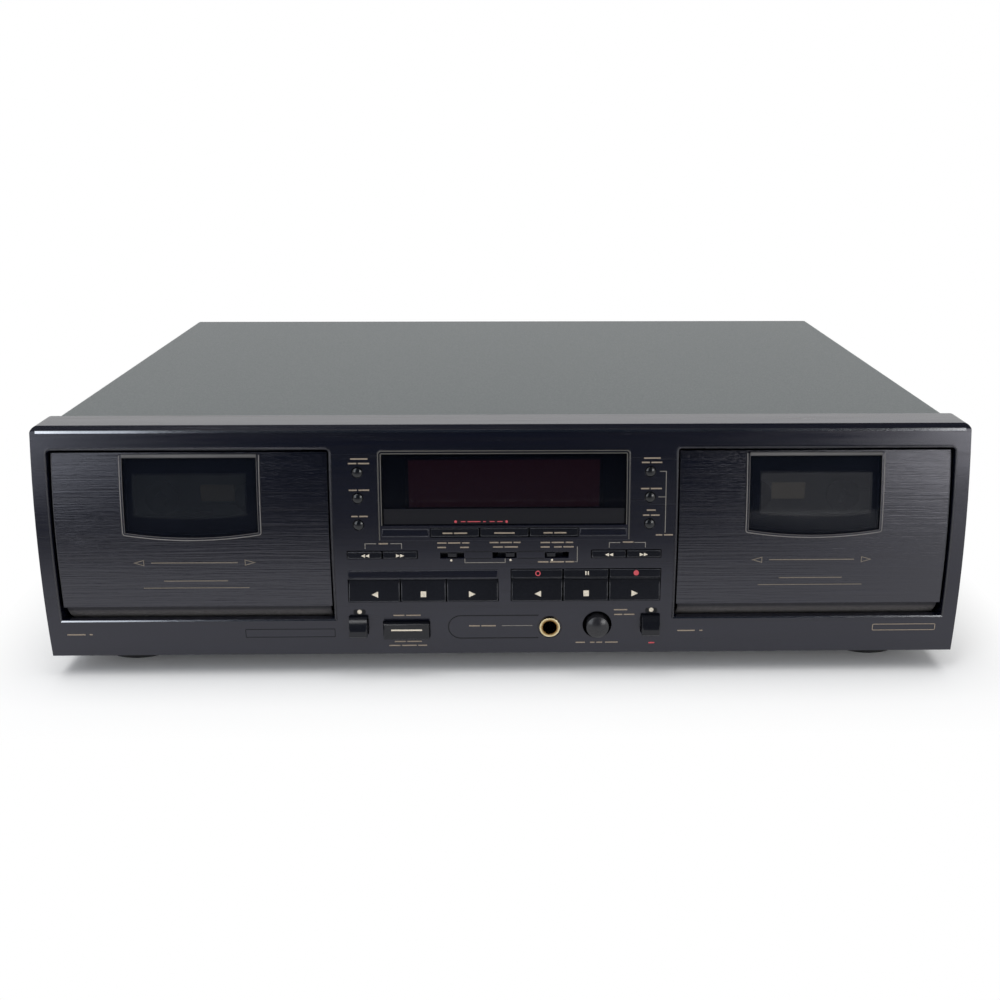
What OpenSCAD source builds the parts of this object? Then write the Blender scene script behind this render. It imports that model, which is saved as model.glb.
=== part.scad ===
// Double cassette deck: full-width case, two tilting doors, centre controls and both tape mechanisms.
// X runs along the front, the front faces -Y, Z is up from the ground.

/* [Case] */
// Width of the front panel
body_w = 420; // [410:1:450]
// Depth from the foremost line of the panel to the rear edge of the cover
body_d = 290; // [270:1:330]
// Height of the front panel
panel_h = 108; // [107:0.5:114]
// Height of the panel's lower edge above the ground
foot_h = 11; // [8:0.5:16]
// Depth of the panel moulding
panel_d = 28; // [26.5:0.5:32]
// Front wall of the panel
panel_wall = 3; // [2.4:0.1:3.4]
// Top, bottom and side walls of the panel
shell_wall = 2.5; // [2:0.1:3]
// Radius of the bowed face in side view
face_r = 340; // [300:5:450]
// Height of the foremost line above the panel's lower edge
face_low = 32; // [26:1:38]
// Bevel along the upper front edge
top_bevel = 2.2; // [1:0.1:2.4]
// Radius of the panel's upper corners in front view
corner_r = 3; // [1:0.5:5]
// Step from the panel's side to the cover's side
cover_inset = 4.5; // [3.5:0.5:8]
// Step from the panel's top down to the cover's top
cover_drop = 0.5; // [0.2:0.1:1.2]
// Sheet of the cover
cover_sheet = 1; // [0.8:0.1:1.4]
// Sheet of the chassis, rear panel and mechanism plates
sheet = 1.2; // [1:0.1:1.5]
// Radius of a foot
foot_r = 20; // [14:0.5:22]
// Distance of a foot's centre from the panel's end
foot_in = 31.5; // [26:0.5:45]
// Distance of the front feet from the foremost line
foot_y = 40.5; // [38:0.5:60]
// Height of the chassis side flanges
flange_h = 35; // [28:1:50]

/* [Doors] */
// Width of a door opening
open_w = 124.8; // [124:0.2:128]
// Panel left at the outer end, beside an opening
open_margin = 7; // [5:0.2:8]
// Panel left above an opening
open_top = 10.3; // [9.8:0.1:11]
// Height of the opening's sill above the panel's lower edge
open_low = 18.5; // [16:0.5:20]
// Corner radius of an opening
open_r = 1.5; // [1:0.5:4]
// Gap beside a door
door_gap = 1; // [1:0.1:2.5]
// Height of a door's lower edge above the panel's lower edge
door_low = 24.5; // [23.5:0.1:25]
// Height of a door's upper edge above the panel's lower edge
door_high = 96; // [93.6:0.2:96.6]
// Height above the panel's lower edge where the door starts to lean back
door_bend = 40; // [37:0.5:42]
// Radius of the leaning part of a door
door_r = 220; // [125:1:240]
// Depth of a door's lower part behind the foremost line
door_set = 1.1; // [0.8:0.1:1.6]
// Wall of a door
door_wall = 2.5; // [2:0.1:2.8]
// Width of a door window
window_w = 59.6; // [54:0.2:68]
// Height of a window's lower edge, at its middle, above the panel's lower edge
window_low = 58; // [52:0.5:62]
// Height of a window's upper edge above the panel's lower edge
window_high = 93.8; // [88:0.2:94.4]
// Sag of a window's lower edge
window_sag = 2.4; // [1:0.1:4]
// Width of the raised trim round a window
trim_w = 1.4; // [0.8:0.1:1.6]
// Height of the raised trim
trim_up = 0.7; // [0.3:0.1:0.9]

/* [Cassette bay] */
// Width of the cassette pocket
pocket_w = 101.4; // [101:0.1:103]
// Depth of the cassette pocket
pocket_d = 13; // [12.6:0.1:13.6]
// Distance of the pocket's front from the foremost line
pocket_y = 18; // [17.6:0.1:19]
// Height of the pocket's floor above the panel's lower edge
pocket_low = 32; // [31:0.2:32.6]
// Height of the holder's side walls above the pocket's floor
holder_h = 63; // [58:0.5:63.4]
// Wall of the holder's sides
holder_wall = 1.5; // [1.2:0.1:1.8]
// Sheet of the holder's lips and floor
holder_lip = 1.2; // [1:0.1:1.5]
// Distance of the hinge behind the foremost line
hinge_y = 20; // [19:0.2:21]
// Height of the hinge above the panel's lower edge
hinge_h = 33; // [32:0.2:33.6]
// Radius of a hinge pin
hinge_r = 2; // [1.5:0.1:2.3]
// Distance between the two hubs of a cassette
hub_pitch = 42.5; // [42:0.1:43]
// Height of the hubs above the pocket's floor
hub_up = 35; // [33:0.5:37]
// Distance between the two capstans
capstan_pitch = 56; // [54:0.5:60]
// Height of the capstans above the pocket's floor
capstan_up = 6.5; // [6:0.1:7]
// Radius of a capstan
capstan_r = 1.1; // [0.9:0.1:1.3]
// Radius of a flywheel
flywheel_r = 19; // [16:0.5:20]
// Radius of a pinch roller
roller_r = 5.5; // [4.5:0.1:6]
// Lift of a head base from stop to play
head_lift = 6.5; // [5:0.1:6.5]

/* [Display] */
// Width of the display opening
display_w = 109.8; // [100:0.2:112]
// Height of the display opening's lower edge above the panel's lower edge
display_low = 63.3; // [63:0.1:64]
// Height of the display opening's upper edge above the panel's lower edge
display_high = 95.5; // [90:0.1:96.5]
// Depth of the display lens behind the face
lens_in = 0.6; // [0.3:0.1:1]
// Width of the raised frame round the display and its keys
frame_w = 1.8; // [1:0.1:2.2]
// Height of the raised frame
frame_up = 0.6; // [0.3:0.1:0.9]

/* [Keys] */
// Width between the door openings for which the sizes of the controls are given
middle_w = 156.4; // [150:0.2:162]
// Clearance between a key and its slot
key_gap = 0.3; // [0.25:0.05:0.4]
// Space between neighbouring keys
key_space = 0.6; // [0.4:0.1:0.8]
// Height of the flat keys' lower edge above the face
key_up = 1.1; // [0.6:0.1:1.4]
// Angle by which the flat keys lean back
key_lean = 11; // [0:1:13]
// Travel of a key
key_travel = 1.5; // [1:0.1:1.8]
// Rim that holds a key behind the panel
key_rim = 1; // [0.6:0.1:1]
// Bevel along the front edges of the keys
key_round = 0.6; // [0.3:0.1:0.8]
// Pitch of the key strip
strip_pitch = 22.35; // [21:0.05:22.4]
// Height of a strip key
strip_h = 3.9; // [3:0.1:4]
// Height of the key strip's centre above the panel's lower edge
strip_up = 60.1; // [59.8:0.1:60.3]
// Width of a search key
search_w = 15.4; // [12:0.1:16]
// Height of a search key
search_h = 3.3; // [2.6:0.1:3.8]
// Distance of a pair of search keys from the middle
search_x = 55.4; // [53:0.1:56]
// Height of the search keys' centre above the panel's lower edge
search_up = 49.65; // [48:0.05:50.5]
// Width of an outer transport key
play_w = 23.3; // [20:0.1:23.6]
// Width of a middle transport key
stop_w = 20.4; // [18:0.1:21]
// Height of a transport key
play_h = 10.6; // [9:0.1:10.8]
// Distance of a transport group from the middle
play_x = 37.2; // [36.6:0.1:38]
// Height of the transport keys' centre above the panel's lower edge
play_up = 32.3; // [31.8:0.1:32.5]
// Height of a slim recording key
slim_h = 4; // [3:0.1:4.2]
// Space between the transport keys and the slim keys
slim_space = 0.7; // [0.5:0.1:1]
// Radius of a round button
round_r = 2.2; // [1.6:0.1:2.6]
// Distance of the round buttons from the middle
round_x = 65.7; // [63.5:0.1:68]
// Height of the upper round buttons above the panel's lower edge
round_up_1 = 87.3; // [85:0.1:89]
// Height of the middle round buttons above the panel's lower edge
round_up_2 = 75.8; // [74:0.1:78]
// Height of the lower round buttons above the panel's lower edge
round_up_3 = 63.6; // [62.5:0.1:66]
// Width of an eject key
eject_w = 8.2; // [6:0.1:9]
// Height of an eject key
eject_h = 8.8; // [7:0.1:10]
// Reach of an eject key in front of the face
eject_out = 5.5; // [4:0.1:7]
// Radius of an eject key's bowed front
eject_bow = 9; // [8:0.1:14]
// Travel of an eject key
eject_travel = 3; // [2:0.1:3.4]
// Distance of the eject keys from the middle
eject_x = 67.4; // [66:0.1:69]
// Height of the eject keys' centre above the panel's lower edge
eject_up = 15.2; // [14:0.1:16.5]
// Width of the power button
power_w = 21; // [16:0.1:23]
// Height of the power button
power_h = 7.9; // [6:0.1:9]
// Reach of the power button in front of the face
power_out = 3.5; // [2:0.1:5]
// Travel of the power button
power_travel = 3; // [2:0.1:3.4]
// Distance of the power button from the middle
power_x = 45.4; // [43:0.1:47]
// Height of the power button's centre above the panel's lower edge
power_up = 12.8; // [11.5:0.1:14]

/* [Slide switches, socket and knob] */
// Length of a slide switch slot
slide_w = 11; // [9.8:0.1:13]
// Height of a slide switch slot
slide_h = 2.9; // [2.4:0.1:3.6]
// Pitch of the slide switches
slide_pitch = 23.75; // [22:0.05:24.5]
// Height of the slide switches above the panel's lower edge
slide_up = 49.2; // [48:0.1:50.2]
// Width of a slide knob
nub_w = 4.2; // [3:0.1:4.6]
// Step between two places of a slide switch
slide_step = 2.6; // [2:0.1:2.8]
// Radius of the headphone socket's bore
socket_r = 3.25; // [3.2:0.01:3.3]
// Outer radius of the socket's ring
ring_r = 4.7; // [4.2:0.1:5.2]
// Distance of the socket from the middle
socket_x = 20.8; // [18:0.1:24]
// Height of the socket above the panel's lower edge
socket_up = 13.5; // [12:0.1:15]
// Radius of the level knob
knob_r = 5.2; // [4:0.1:5.8]
// Radius of the recess round the level knob
recess_r = 6.7; // [6.2:0.1:7.2]
// Reach of the level knob in front of the face
knob_out = 5; // [3:0.1:7]
// Distance of the level knob from the middle
knob_x = 42.8; // [40:0.1:46]
// Height of the level knob above the panel's lower edge
knob_up = 14.5; // [13:0.1:15.5]

/* [Rear] */
// Radius of a phono socket's shell
phono_r = 4.15; // [4:0.05:4.3]
// Length of a phono socket's shell
phono_len = 8.8; // [7:0.1:10]
// Spacing of the phono sockets
phono_pitch = 16; // [14:0.5:18]
// Distance of the phono sockets from the middle
phono_x = 120; // [90:1:150]
// Height of the phono sockets above the panel's lower edge
phono_up = 45; // [38:1:70]
// Radius of the cord gland's bore
gland_r = 3.7; // [3:0.1:4.5]
// Distance of the cord gland from the middle
gland_x = 150; // [120:1:170]
// Height of the cord gland above the panel's lower edge
gland_up = 34; // [28:1:60]

/* [Hidden] */
$fn = 96;
smooth = 720;
eps = 0.01;
far = 40;
SIDES = ["left", "right"];
SIGN = [-1, 1];
FIXED = ["front_panel", "top_cover", "base_chassis", "rear_panel", "feet", "screws", "display_window",
  "display_tube", "circuit_boards", "power_transformer", "rear_sockets", "headphone_socket",
  "mechanism_plates", "drive_motors", "drive_belts", "power_button", "level_knob"];
DECK = ["door_panel", "door_window", "cassette_holder", "supply_spindle", "takeup_spindle",
  "flywheel_1", "flywheel_2", "head_base", "eject_key"];
PLAY = ["reverse_key", "stop_key", "play_key"];
SLIM = ["record_mute_key", "pause_key", "record_key"];
SEARCH = ["search_back_key", "search_forward_key"];

// Levels and the bowed face
panel_z = foot_h;
panel_top = panel_z + panel_h;
face_z = panel_z + face_low;
function face_y(z) = face_r - sqrt(pow(face_r, 2) - pow(z - face_z, 2));
function inner_y(z) = face_r - sqrt(pow(face_r - panel_wall, 2) - pow(z - face_z, 2));
function deepest_inner(z, half) = max(inner_y(z - half), inner_y(z + half));

// The controls share out the width between the door openings
middle = (body_w - 2 * (open_margin + open_w)) / middle_w;
strip_step = middle * strip_pitch;
search_wide = middle * search_w;
search_at = middle * search_x;
play_wide = middle * play_w;
stop_wide = middle * stop_w;
play_at = middle * play_x;
round_at = middle * round_x;
eject_wide = middle * eject_w;
eject_at = middle * eject_x;
power_wide = middle * power_w;
power_at = middle * power_x;
slide_wide = middle * slide_w;
slide_gap = middle * slide_pitch;
nub_wide = middle * nub_w;
slide_go = middle * slide_step;
socket_at = middle * socket_x;
knob_at = middle * knob_x;
display_wide = middle * display_w;
ROUND = [panel_z + round_up_1, panel_z + round_up_2, panel_z + round_up_3];

// Fits
seat = 0.3;
run_fit = 0.05;
touch = 0.05;
end_play = 0.4;
cut = 1;
dome_share = 1.7;

// Door openings and the tunnels behind them
deck_x = body_w / 2 - open_margin - open_w / 2;
open_z = panel_z + open_low;
open_h = panel_h - open_top - open_low;
tunnel_wall = 1.5;
tunnel_d = 17;
lip_w = 0.9;
lip_up = 0.5;
door_w = open_w - 2 * door_gap;
door_z = panel_z + door_low;
door_top = panel_z + door_high;
bend_z = panel_z + door_bend;
window_z = panel_z + window_low;
window_top = panel_z + window_high;
window_r = (pow(window_w / 2, 2) + pow(window_sag, 2)) / (2 * window_sag);
lens_set = 0.4;
lens_flange = 1;
lens_grip = 2;

// Cassette holder and hinge
pocket_z = panel_z + pocket_low;
hinge_z = panel_z + hinge_h;
door_back = door_set + door_wall;

// Apron that turns about the hinge and closes the gap under a door
apron_in = 0.8;
apron_t = 1.2;
apron_side = 1;
apron_turn = 44;
apron_lap = 3;
apron_gap = 0.7;
apron_start = atan2(hinge_z - door_z, hinge_y - door_set) - apron_lap;
apron_end = apron_start + apron_turn;
apron_r = norm([hinge_z - door_z, hinge_y - door_set]) - apron_in;
tunnel_floor = hinge_z - apron_r - apron_gap;

// Pocket walls, ribs and hinge ears
wall_x = pocket_w / 2 + holder_wall;
pocket_back = pocket_y + pocket_d;
holder_back = pocket_back + holder_lip;
lip_in = 4.7;
floor_in = 8.7;
lip_rise = 48;
lip_top = bend_z + lip_rise;
rib_edge = 1;
rib_top = bend_z - rib_edge / 2;
rib_low = door_z + rib_edge;
tie_h = 4.5;
tie_d = 1.5;
ear_gap = 0.8;
ear_t = 2;
pin_past = 0.5;

// Mechanism plate, spindles, capstans and belt
plate_gap = 1.8;
plate_y = holder_back + plate_gap;
plate_back = plate_y + sheet;
plate_w = 114;
plate_foot = 12;
floor_z = panel_z + shell_wall;
floor_top = floor_z + sheet;
hub_z = pocket_z + hub_up;
reach_in = 7;
tip_y = pocket_back - reach_in;
spindle_r = 2.6;
vane_r = 3.6;
vane_t = 1;
spindle_disc_r = 8;
spindle_shaft_r = 1.5;
disc_gap = 0.5;
disc_end = 0.8;
vane_in = 1;
collar_t = 1.4;
capstan_z = pocket_z + capstan_up;
bush_r = 3;
bush_len = 4.3;
flywheel_t = 6;
flywheel_y = plate_back + bush_len + end_play;
pulley_r = 5;
pulley_edge = 0.5;
belt_t = 1;
belt_w = 4;
belt_out = flywheel_r + seat + belt_t;
pulley_out = pulley_r + seat + belt_t;
belt_nx = (belt_out + flywheel_r + seat) / capstan_pitch;
pulley_x = capstan_pitch / 2;
pulley_z = capstan_z + (belt_nx * capstan_pitch - belt_out + pulley_out) / sqrt(1 - pow(belt_nx, 2));
belt_y = flywheel_y + (flywheel_t - belt_w) / 2;
bracket_gap = 2;
bracket_y = flywheel_y + flywheel_t + bracket_gap;
bracket_half = 20;
bracket_low = 15;
bracket_high = 17;
post_r = 2;
POSTS = [[16, 12], [-16, 13], [17, -10]];
motor_r = 14;
motor_len = 28;

// Head base
roller_z = capstan_z - capstan_r - seat - roller_r - head_lift;
base_t = 1.2;
base_y = plate_y - end_play - base_t;
base_half = 36;
base_over = 2;
base_top = roller_z + base_over;
base_h = 14;
guide_x = 14;
guide_r = 1.5;
guide_fit = 0.1;
guide_down = 3;
guide_z = base_top - guide_down;
guide_head = 1;
head_half = 8;
head_in = 1;
head_y = pocket_y + head_in;
head_down = 2;
head_top = pocket_z - head_down;
roller_in = 5;
roller_y = pocket_y + roller_in;
roller_len = 8;

// Control board behind the keys
board_in = 6;
board_y = panel_d - board_in;
board_t = 1.6;
board_reach = 74;
board_half = board_reach * middle;
board_clear = 1.3;
board_low = floor_top + board_clear;
board_drop = 6.5;
board_high = panel_top - board_drop;
switch_room = 5.5;
stem_end = board_y - switch_room;
switch_gap = 0.5;
switch_y = stem_end + max(key_travel, eject_travel, power_travel) + switch_gap;
switch_w = 6;
rim_t = 1.2;
boss_r = 2.4;
boss_out = 71;
boss_in = 29.5;
boss_drop = 8.5;
boss_up = 22.6;
boss_far = boss_out * middle;
boss_near = boss_in * middle;
boss_top = panel_top - boss_drop;
boss_low = panel_z + boss_up;
BOSSES = [[-boss_far, boss_top], [boss_far, boss_top], [-boss_near, boss_low], [boss_near, boss_low]];
slide_room = 6.5;
slide_stem = stem_end - slide_room;
slide_body = 1;
nub_in = 0.2;

// Centres of the controls
strip_w = strip_step - key_space;
strip_z = panel_z + strip_up;
search_z = panel_z + search_up;
search_pitch = search_wide + key_space;
play_z = panel_z + play_up;
play_pitch = (play_wide + stop_wide) / 2 + key_space;
group_w = 2 * play_wide + stop_wide + 2 * key_space;
slim_z = play_z + play_h / 2 + slim_space + slim_h / 2;
eject_z = panel_z + eject_up;
power_z = panel_z + power_up;
slide_z = panel_z + slide_up;
socket_z = panel_z + socket_up;
knob_z = panel_z + knob_up;
display_z = panel_z + display_low;
display_h = display_high - display_low;
display_mid = display_z + display_h / 2;
play_widths = [play_wide, stop_wide, play_wide];
slide_place = [0, slide_go, -slide_go];

// Rear
rear_in = 1.3;
rear_y = body_d - rear_in;
phono_z = panel_z + phono_up;
phono_face = 0.5;
phono_edge = 8.5;
phono_block = phono_pitch + 2 * phono_edge;
gland_z = panel_z + gland_up;
gland_flange = 3;
gland_wall = 2.6;
gland_len = 15;

// Cover, chassis and screws
cover_half = body_w / 2 - cover_inset;
cover_joint = 0.2;
chassis_half = cover_half - cover_sheet - touch;
chassis_lap = 10;
return_w = 4;
tab_len = 11;
screw_r = 1.5;
screw_gap = 0.4;
screw_len = 6;
screw_head_r = 4;
screw_head = 2.4;
screw_up = 18;
screw_z = floor_top + screw_up;
screw_front = 45;
screw_back = 40;
screw_rows = [panel_d + screw_front, body_d - screw_back];
foot_edge = 1;
foot_boss = 9;

// Lens, tube, level control and boards
lens_lip = 1.2;
lens_back = panel_wall + touch + lens_lip;
tube_reach = 90;
tube_w = tube_reach * middle;
tube_t = 6;
tube_edge = 3;
tube_h = display_h - 2 * tube_edge;
tube_gap = 1.2;
tube_y = face_r - sqrt(pow(face_r - lens_back, 2) - pow(display_z + display_h - face_z, 2)) + tube_gap;
pot_w = 14;
pot_room = 4.5;
pot_y = stem_end - pot_room;
shaft_r = 2;
shaft_end = stem_end + switch_gap;
knob_root = 4;
knob_back = inner_y(knob_z) + knob_root;
barrel_r = 6;
ring_out = 0.8;
socket_wall = 2;
main_w = 190;
main_d = 130;
main_in = 75;
main_y = panel_d + main_in;
main_up = 10;
main_edge = 6;
stand_r = 3;
row_in = 22;
can_r = 7;
can_h = 22;
can_pitch = 22;
chip_w = 18;
chip_d = 8;
chip_h = 4;
chip_pitch = 30;
small_r = 3;
small_h = 12;
small_pitch = 9;
sink_w = 50;
sink_d = 10;
sink_h = 34;
trafo_w = 60;
trafo_d = 46;
trafo_h = 44;
trafo_in = 72;
trafo_side = 60;
trafo_foot = 9;
coil_w = 40;
coil_h = 22;
coil_out = 9.2;
phono_deep = 12;
phono_ear = 8;
contact_r = 1.6;
holder_top = pocket_z + holder_h;
holder_floor = 1.5;
ear_reach = 5.5;
ear_trim = 1;

// The part stands on the ground with its middle over the origin
front_reach = max(eject_out - face_y(eject_z), knob_out - face_y(knob_z), power_out - face_y(power_z));
rear_end = rear_y + max(phono_face + phono_len, gland_flange);
y_front = -(rear_end - front_reach) / 2;

// Flat outlines
module along_x(len) {
  rotate([90, 0, 90]) linear_extrude(len, center = true) children();
}

module along_y(from, to) {
  translate([0, to, 0]) rotate([90, 0, 0]) linear_extrude(to - from) children();
}

module along_z(len) {
  rotate([0, 0, 90]) linear_extrude(len, center = true) children();
}

module rod_y(r, from, to) {
  translate([0, to, 0]) rotate([90, 0, 0]) cylinder(r = r, h = to - from);
}

// A rod with a domed front end
module dome_y(r, from, to) {
  dome = dome_share * r;
  intersection() {
    rod_y(r, from, to);
    translate([0, from + dome, 0]) sphere(dome);
  }
}

module round_rect(w, h, r) {
  square([w - 2 * r, h], center = true);
  square([w, h - 2 * r], center = true);
  for (i = [-1, 1], j = [-1, 1]) translate([i * (w / 2 - r), j * (h / 2 - r)]) circle(r);
}

// A key seen from its end: flat back, two bevelled front corners, the upper one set back by lean
module key_end(d, s, r, lean) {
  polygon([
    [r, -s / 2],
    [lean * r / s, r - s / 2],
    [lean * (s - r) / s, s / 2 - r],
    [lean + r, s / 2],
    [d, s / 2],
    [d, -s / 2]
  ]);
}

module block(w, h, d, r, lean) {
  intersection() {
    along_x(w) key_end(d, h, r, lean);
    along_z(h) key_end(d, w, r, 0);
  }
}

module placed() {
  translate([0, y_front, 0]) children();
}

module deck(s) {
  placed() translate([SIGN[s] * deck_x, 0, 0]) children();
}

// The space behind the bowed face, shifted back by t
module behind_face(t) {
  translate([0, face_r, face_z]) rotate([0, 90, 0])
    cylinder(r = face_r - t, h = body_w + far, center = true, $fn = smooth);
}

// The space behind a door's face in side view, shifted back by t
module behind_door(t) {
  translate([door_set + t, 0]) square([door_r - t, bend_z]);
  intersection() {
    translate([door_set + door_r, bend_z]) circle(door_r - t, $fn = smooth);
    translate([door_set - far, bend_z]) square([door_r + far, panel_h]);
  }
}

module door_layer(w, front, back) {
  along_x(w) difference() {
    behind_door(front);
    behind_door(back);
  }
}

module window_outline(grow) {
  intersection() {
    translate([-window_w / 2 - grow, window_z - grow])
      square([window_w + 2 * grow, window_top - window_z + 2 * grow]);
    translate([0, window_z + window_r]) circle(window_r + grow, $fn = smooth);
  }
}

// A slot in the panel, the size of what passes plus the key clearance
module slot(x, z, w, h) {
  translate([x, 0, z]) along_y(-far / 2, tunnel_d) square([w + 2 * key_gap, h + 2 * key_gap], center = true);
}

// A key: cap, rims behind the panel and the stem towards its switch
module key(x, z, w, h, out, rim_below, rim_above, lean) {
  front = face_y(z) - out;
  rim_y = deepest_inner(z, h / 2 + key_rim) + seat;
  stem = min(w, h) / 2;
  translate([x, 0, z]) {
    translate([0, front, 0]) block(w, h, rim_y + rim_t - front, key_round, lean);
    translate([-w / 2, rim_y, -h / 2 - rim_below]) cube([w, rim_t, h + rim_below + rim_above]);
    translate([-stem / 2, rim_y, -stem / 2]) cube([stem, stem_end - rim_y, stem]);
  }
}

module ring_on_face(up) {
  intersection() {
    children();
    difference() {
      behind_face(-up);
      behind_face(panel_wall / 2);
    }
  }
}

module panel_box() {
  difference() {
    translate([0, 0, (panel_z + panel_top) / 2]) along_y(0, panel_d) {
      translate([0, -panel_h / 4]) square([body_w, panel_h / 2], center = true);
      round_rect(body_w, panel_h, corner_r);
    }
    along_x(body_w + far) polygon([
      [-far, panel_top - top_bevel],
      [face_y(panel_top - top_bevel), panel_top - top_bevel],
      [face_y(panel_top - top_bevel) + top_bevel, panel_top],
      [face_y(panel_top - top_bevel) + top_bevel, panel_top + far],
      [-far, panel_top + far]
    ]);
  }
}

module panel_shell() {
  difference() {
    intersection() {
      panel_box();
      behind_face(0);
    }
    intersection() {
      translate([0, panel_d / 2 + far / 2, (panel_z + panel_top) / 2])
        cube([body_w - 2 * shell_wall, panel_d + far, panel_h - 2 * shell_wall], center = true);
      behind_face(panel_wall);
    }
  }
}

// A door opening: rounded upper corners, square lower ones
module open_outline(grow) {
  wide = open_w + 2 * grow;
  high = open_h + 2 * grow;
  translate([0, open_z + open_h / 2]) {
    round_rect(wide, high, open_r + grow);
    translate([0, -high / 4]) square([wide, high / 2], center = true);
  }
}

// Side, top and floor walls behind a door opening
module tunnel() {
  low = tunnel_floor - tunnel_wall;
  high = open_z + open_h;
  wide = open_w + 2 * tunnel_wall;
  intersection() {
    difference() {
      union() {
        translate([-wide / 2, 0, low]) cube([wide, tunnel_d, high + tunnel_wall - low]);
        translate([-wide / 2, 0, low]) cube([wide, panel_d - shell_wall, tunnel_wall]);
      }
      translate([-open_w / 2, -eps, tunnel_floor]) cube([open_w, panel_d, high - tunnel_floor]);
    }
    behind_face(panel_wall / 2);
  }
}

// Flange at the back of the panel that the cover butts against
module panel_return() {
  low = floor_top + touch;
  high = panel_top - shell_wall / 2;
  inner_half = cover_half - return_w;
  along_y(panel_d - shell_wall, panel_d) difference() {
    translate([-(body_w - shell_wall) / 2, low]) square([body_w - shell_wall, high - low]);
    translate([-inner_half, low - eps]) square([2 * inner_half, panel_top - cover_drop - return_w - low]);
  }
}

module blank(x, z, w, h) {
  front = face_y(z) - key_up;
  translate([x, front, z]) block(w, h, inner_y(z) - front, key_round, h * tan(key_lean));
}

module key_slots() {
  slim_top = slim_z + slim_h / 2;
  play_low = play_z - play_h / 2;
  slot(0, strip_z, 3 * strip_step - key_space, strip_h);
  for (s = SIGN) {
    slot(s * search_at, search_z, 2 * search_wide + key_space, search_h);
    slot(s * eject_at, eject_z, eject_wide, eject_h);
    for (z = ROUND) translate([s * round_at, 0, z]) rod_y(round_r + key_gap, -far / 2, tunnel_d);
  }
  slot(-play_at, play_z, group_w, play_h);
  slot(play_at, (slim_top + play_low) / 2, group_w, slim_top - play_low);
  slot(-power_at, power_z, power_wide, power_h);
  for (i = [-1 : 1]) translate([i * slide_gap, 0, slide_z])
    along_y(-far / 2, tunnel_d) square([slide_wide, slide_h], center = true);
  translate([socket_at, 0, socket_z]) {
    rod_y(ring_r + touch, -far / 2, tunnel_d);
    rod_y(ring_r + lip_w, -far / 2, face_y(socket_z) + lip_up);
  }
  translate([knob_at, 0, knob_z]) rod_y(recess_r, -far / 2, tunnel_d);
}

module display_frame() {
  low = strip_z - strip_h / 2 - frame_w;
  high = display_z + display_h + frame_w;
  wide = display_wide + 2 * frame_w;
  ring_on_face(frame_up) translate([0, 0, (low + high) / 2]) along_y(-far / 2, tunnel_d) {
    round_rect(wide, high - low, frame_w);
    translate([0, (low - high) / 4]) square([wide, (high - low) / 2], center = true);
  }
}

module front_panel() {
  color("#2b2b31") placed() {
    difference() {
      union() {
        panel_shell();
        panel_return();
        display_frame();
        for (s = SIGN) translate([s * deck_x, 0, 0]) {
          tunnel();
          ring_on_face(lip_up) along_y(-far / 2, tunnel_d) open_outline(lip_w);
        }
        for (s = SIGN) blank(s * 2 * strip_step, strip_z, strip_w, strip_h);
        for (b = BOSSES) translate([b[0], 0, b[1]]) rod_y(boss_r, face_y(b[1]) + panel_wall / 2, board_y);
      }
      for (s = SIGN) translate([s * deck_x, 0, 0]) along_y(-far / 2, tunnel_d + far) open_outline(0);
      translate([0, 0, display_mid]) along_y(-far / 2, tunnel_d)
        square([display_wide, display_h], center = true);
      key_slots();
    }
    blank(-play_at, slim_z, group_w, slim_h);
  }
}

// Folded cover with its side screw holes
module top_cover() {
  top = panel_top - cover_drop;
  mid = (floor_z + top) / 2;
  color("#7d8488") placed() difference() {
    along_y(panel_d + cover_joint, body_d) difference() {
      translate([0, mid]) {
        round_rect(2 * cover_half, top - floor_z, corner_r);
        translate([0, -(top - floor_z) / 4]) square([2 * cover_half, (top - floor_z) / 2], center = true);
      }
      translate([cover_sheet - cover_half, floor_z - far])
        square([2 * (cover_half - cover_sheet), top - floor_z - cover_sheet + far]);
    }
    side_screws() rod_x(screw_r + screw_gap, 2 * far);
  }
}

module rod_x(r, len) {
  rotate([0, 90, 0]) cylinder(r = r, h = len, center = true);
}

module side_screws() {
  for (s = SIGN, y = screw_rows) translate([s * cover_half, y, screw_z]) children();
}

module phono_screws() {
  for (s = SIGN) translate([phono_x + s * (phono_block / 2 + phono_ear / 2), 0, phono_z]) children();
}

module base_chassis() {
  color("#8d9094") placed() difference() {
    union() {
      translate([-chassis_half, panel_d - chassis_lap, floor_z])
        cube([2 * chassis_half, rear_y - sheet - panel_d + chassis_lap, sheet]);
      for (s = SIGN) translate([s * (chassis_half - sheet / 2) - sheet / 2, panel_d + cover_joint, floor_z])
        cube([sheet, rear_y - sheet - panel_d - cover_joint, flange_h]);
    }
    side_screws() rod_x(screw_r + run_fit, far / 2);
  }
}

module rear_panel() {
  low = floor_z;
  high = panel_top - cover_drop - cover_sheet - touch;
  tab = chassis_half - sheet - touch;
  color("#5d6064") placed() difference() {
    union() {
      translate([-chassis_half, rear_y - sheet, low]) cube([2 * chassis_half, sheet, high - low]);
      for (s = SIGN) translate([s * (tab - sheet / 2) - sheet / 2, rear_y - tab_len, floor_top + touch])
        cube([sheet, tab_len, flange_h - 2 * sheet]);
    }
    translate([phono_x, 0, phono_z]) along_y(rear_y - far, rear_y + far)
      square(phono_block + 2 * touch, center = true);
    phono_screws() rod_y(screw_r + run_fit, rear_y - far / 4, rear_y + far / 4);
    translate([-gland_x, 0, gland_z]) rod_y(gland_r + gland_wall + touch, rear_y - far, rear_y + far);
  }
}

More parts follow.
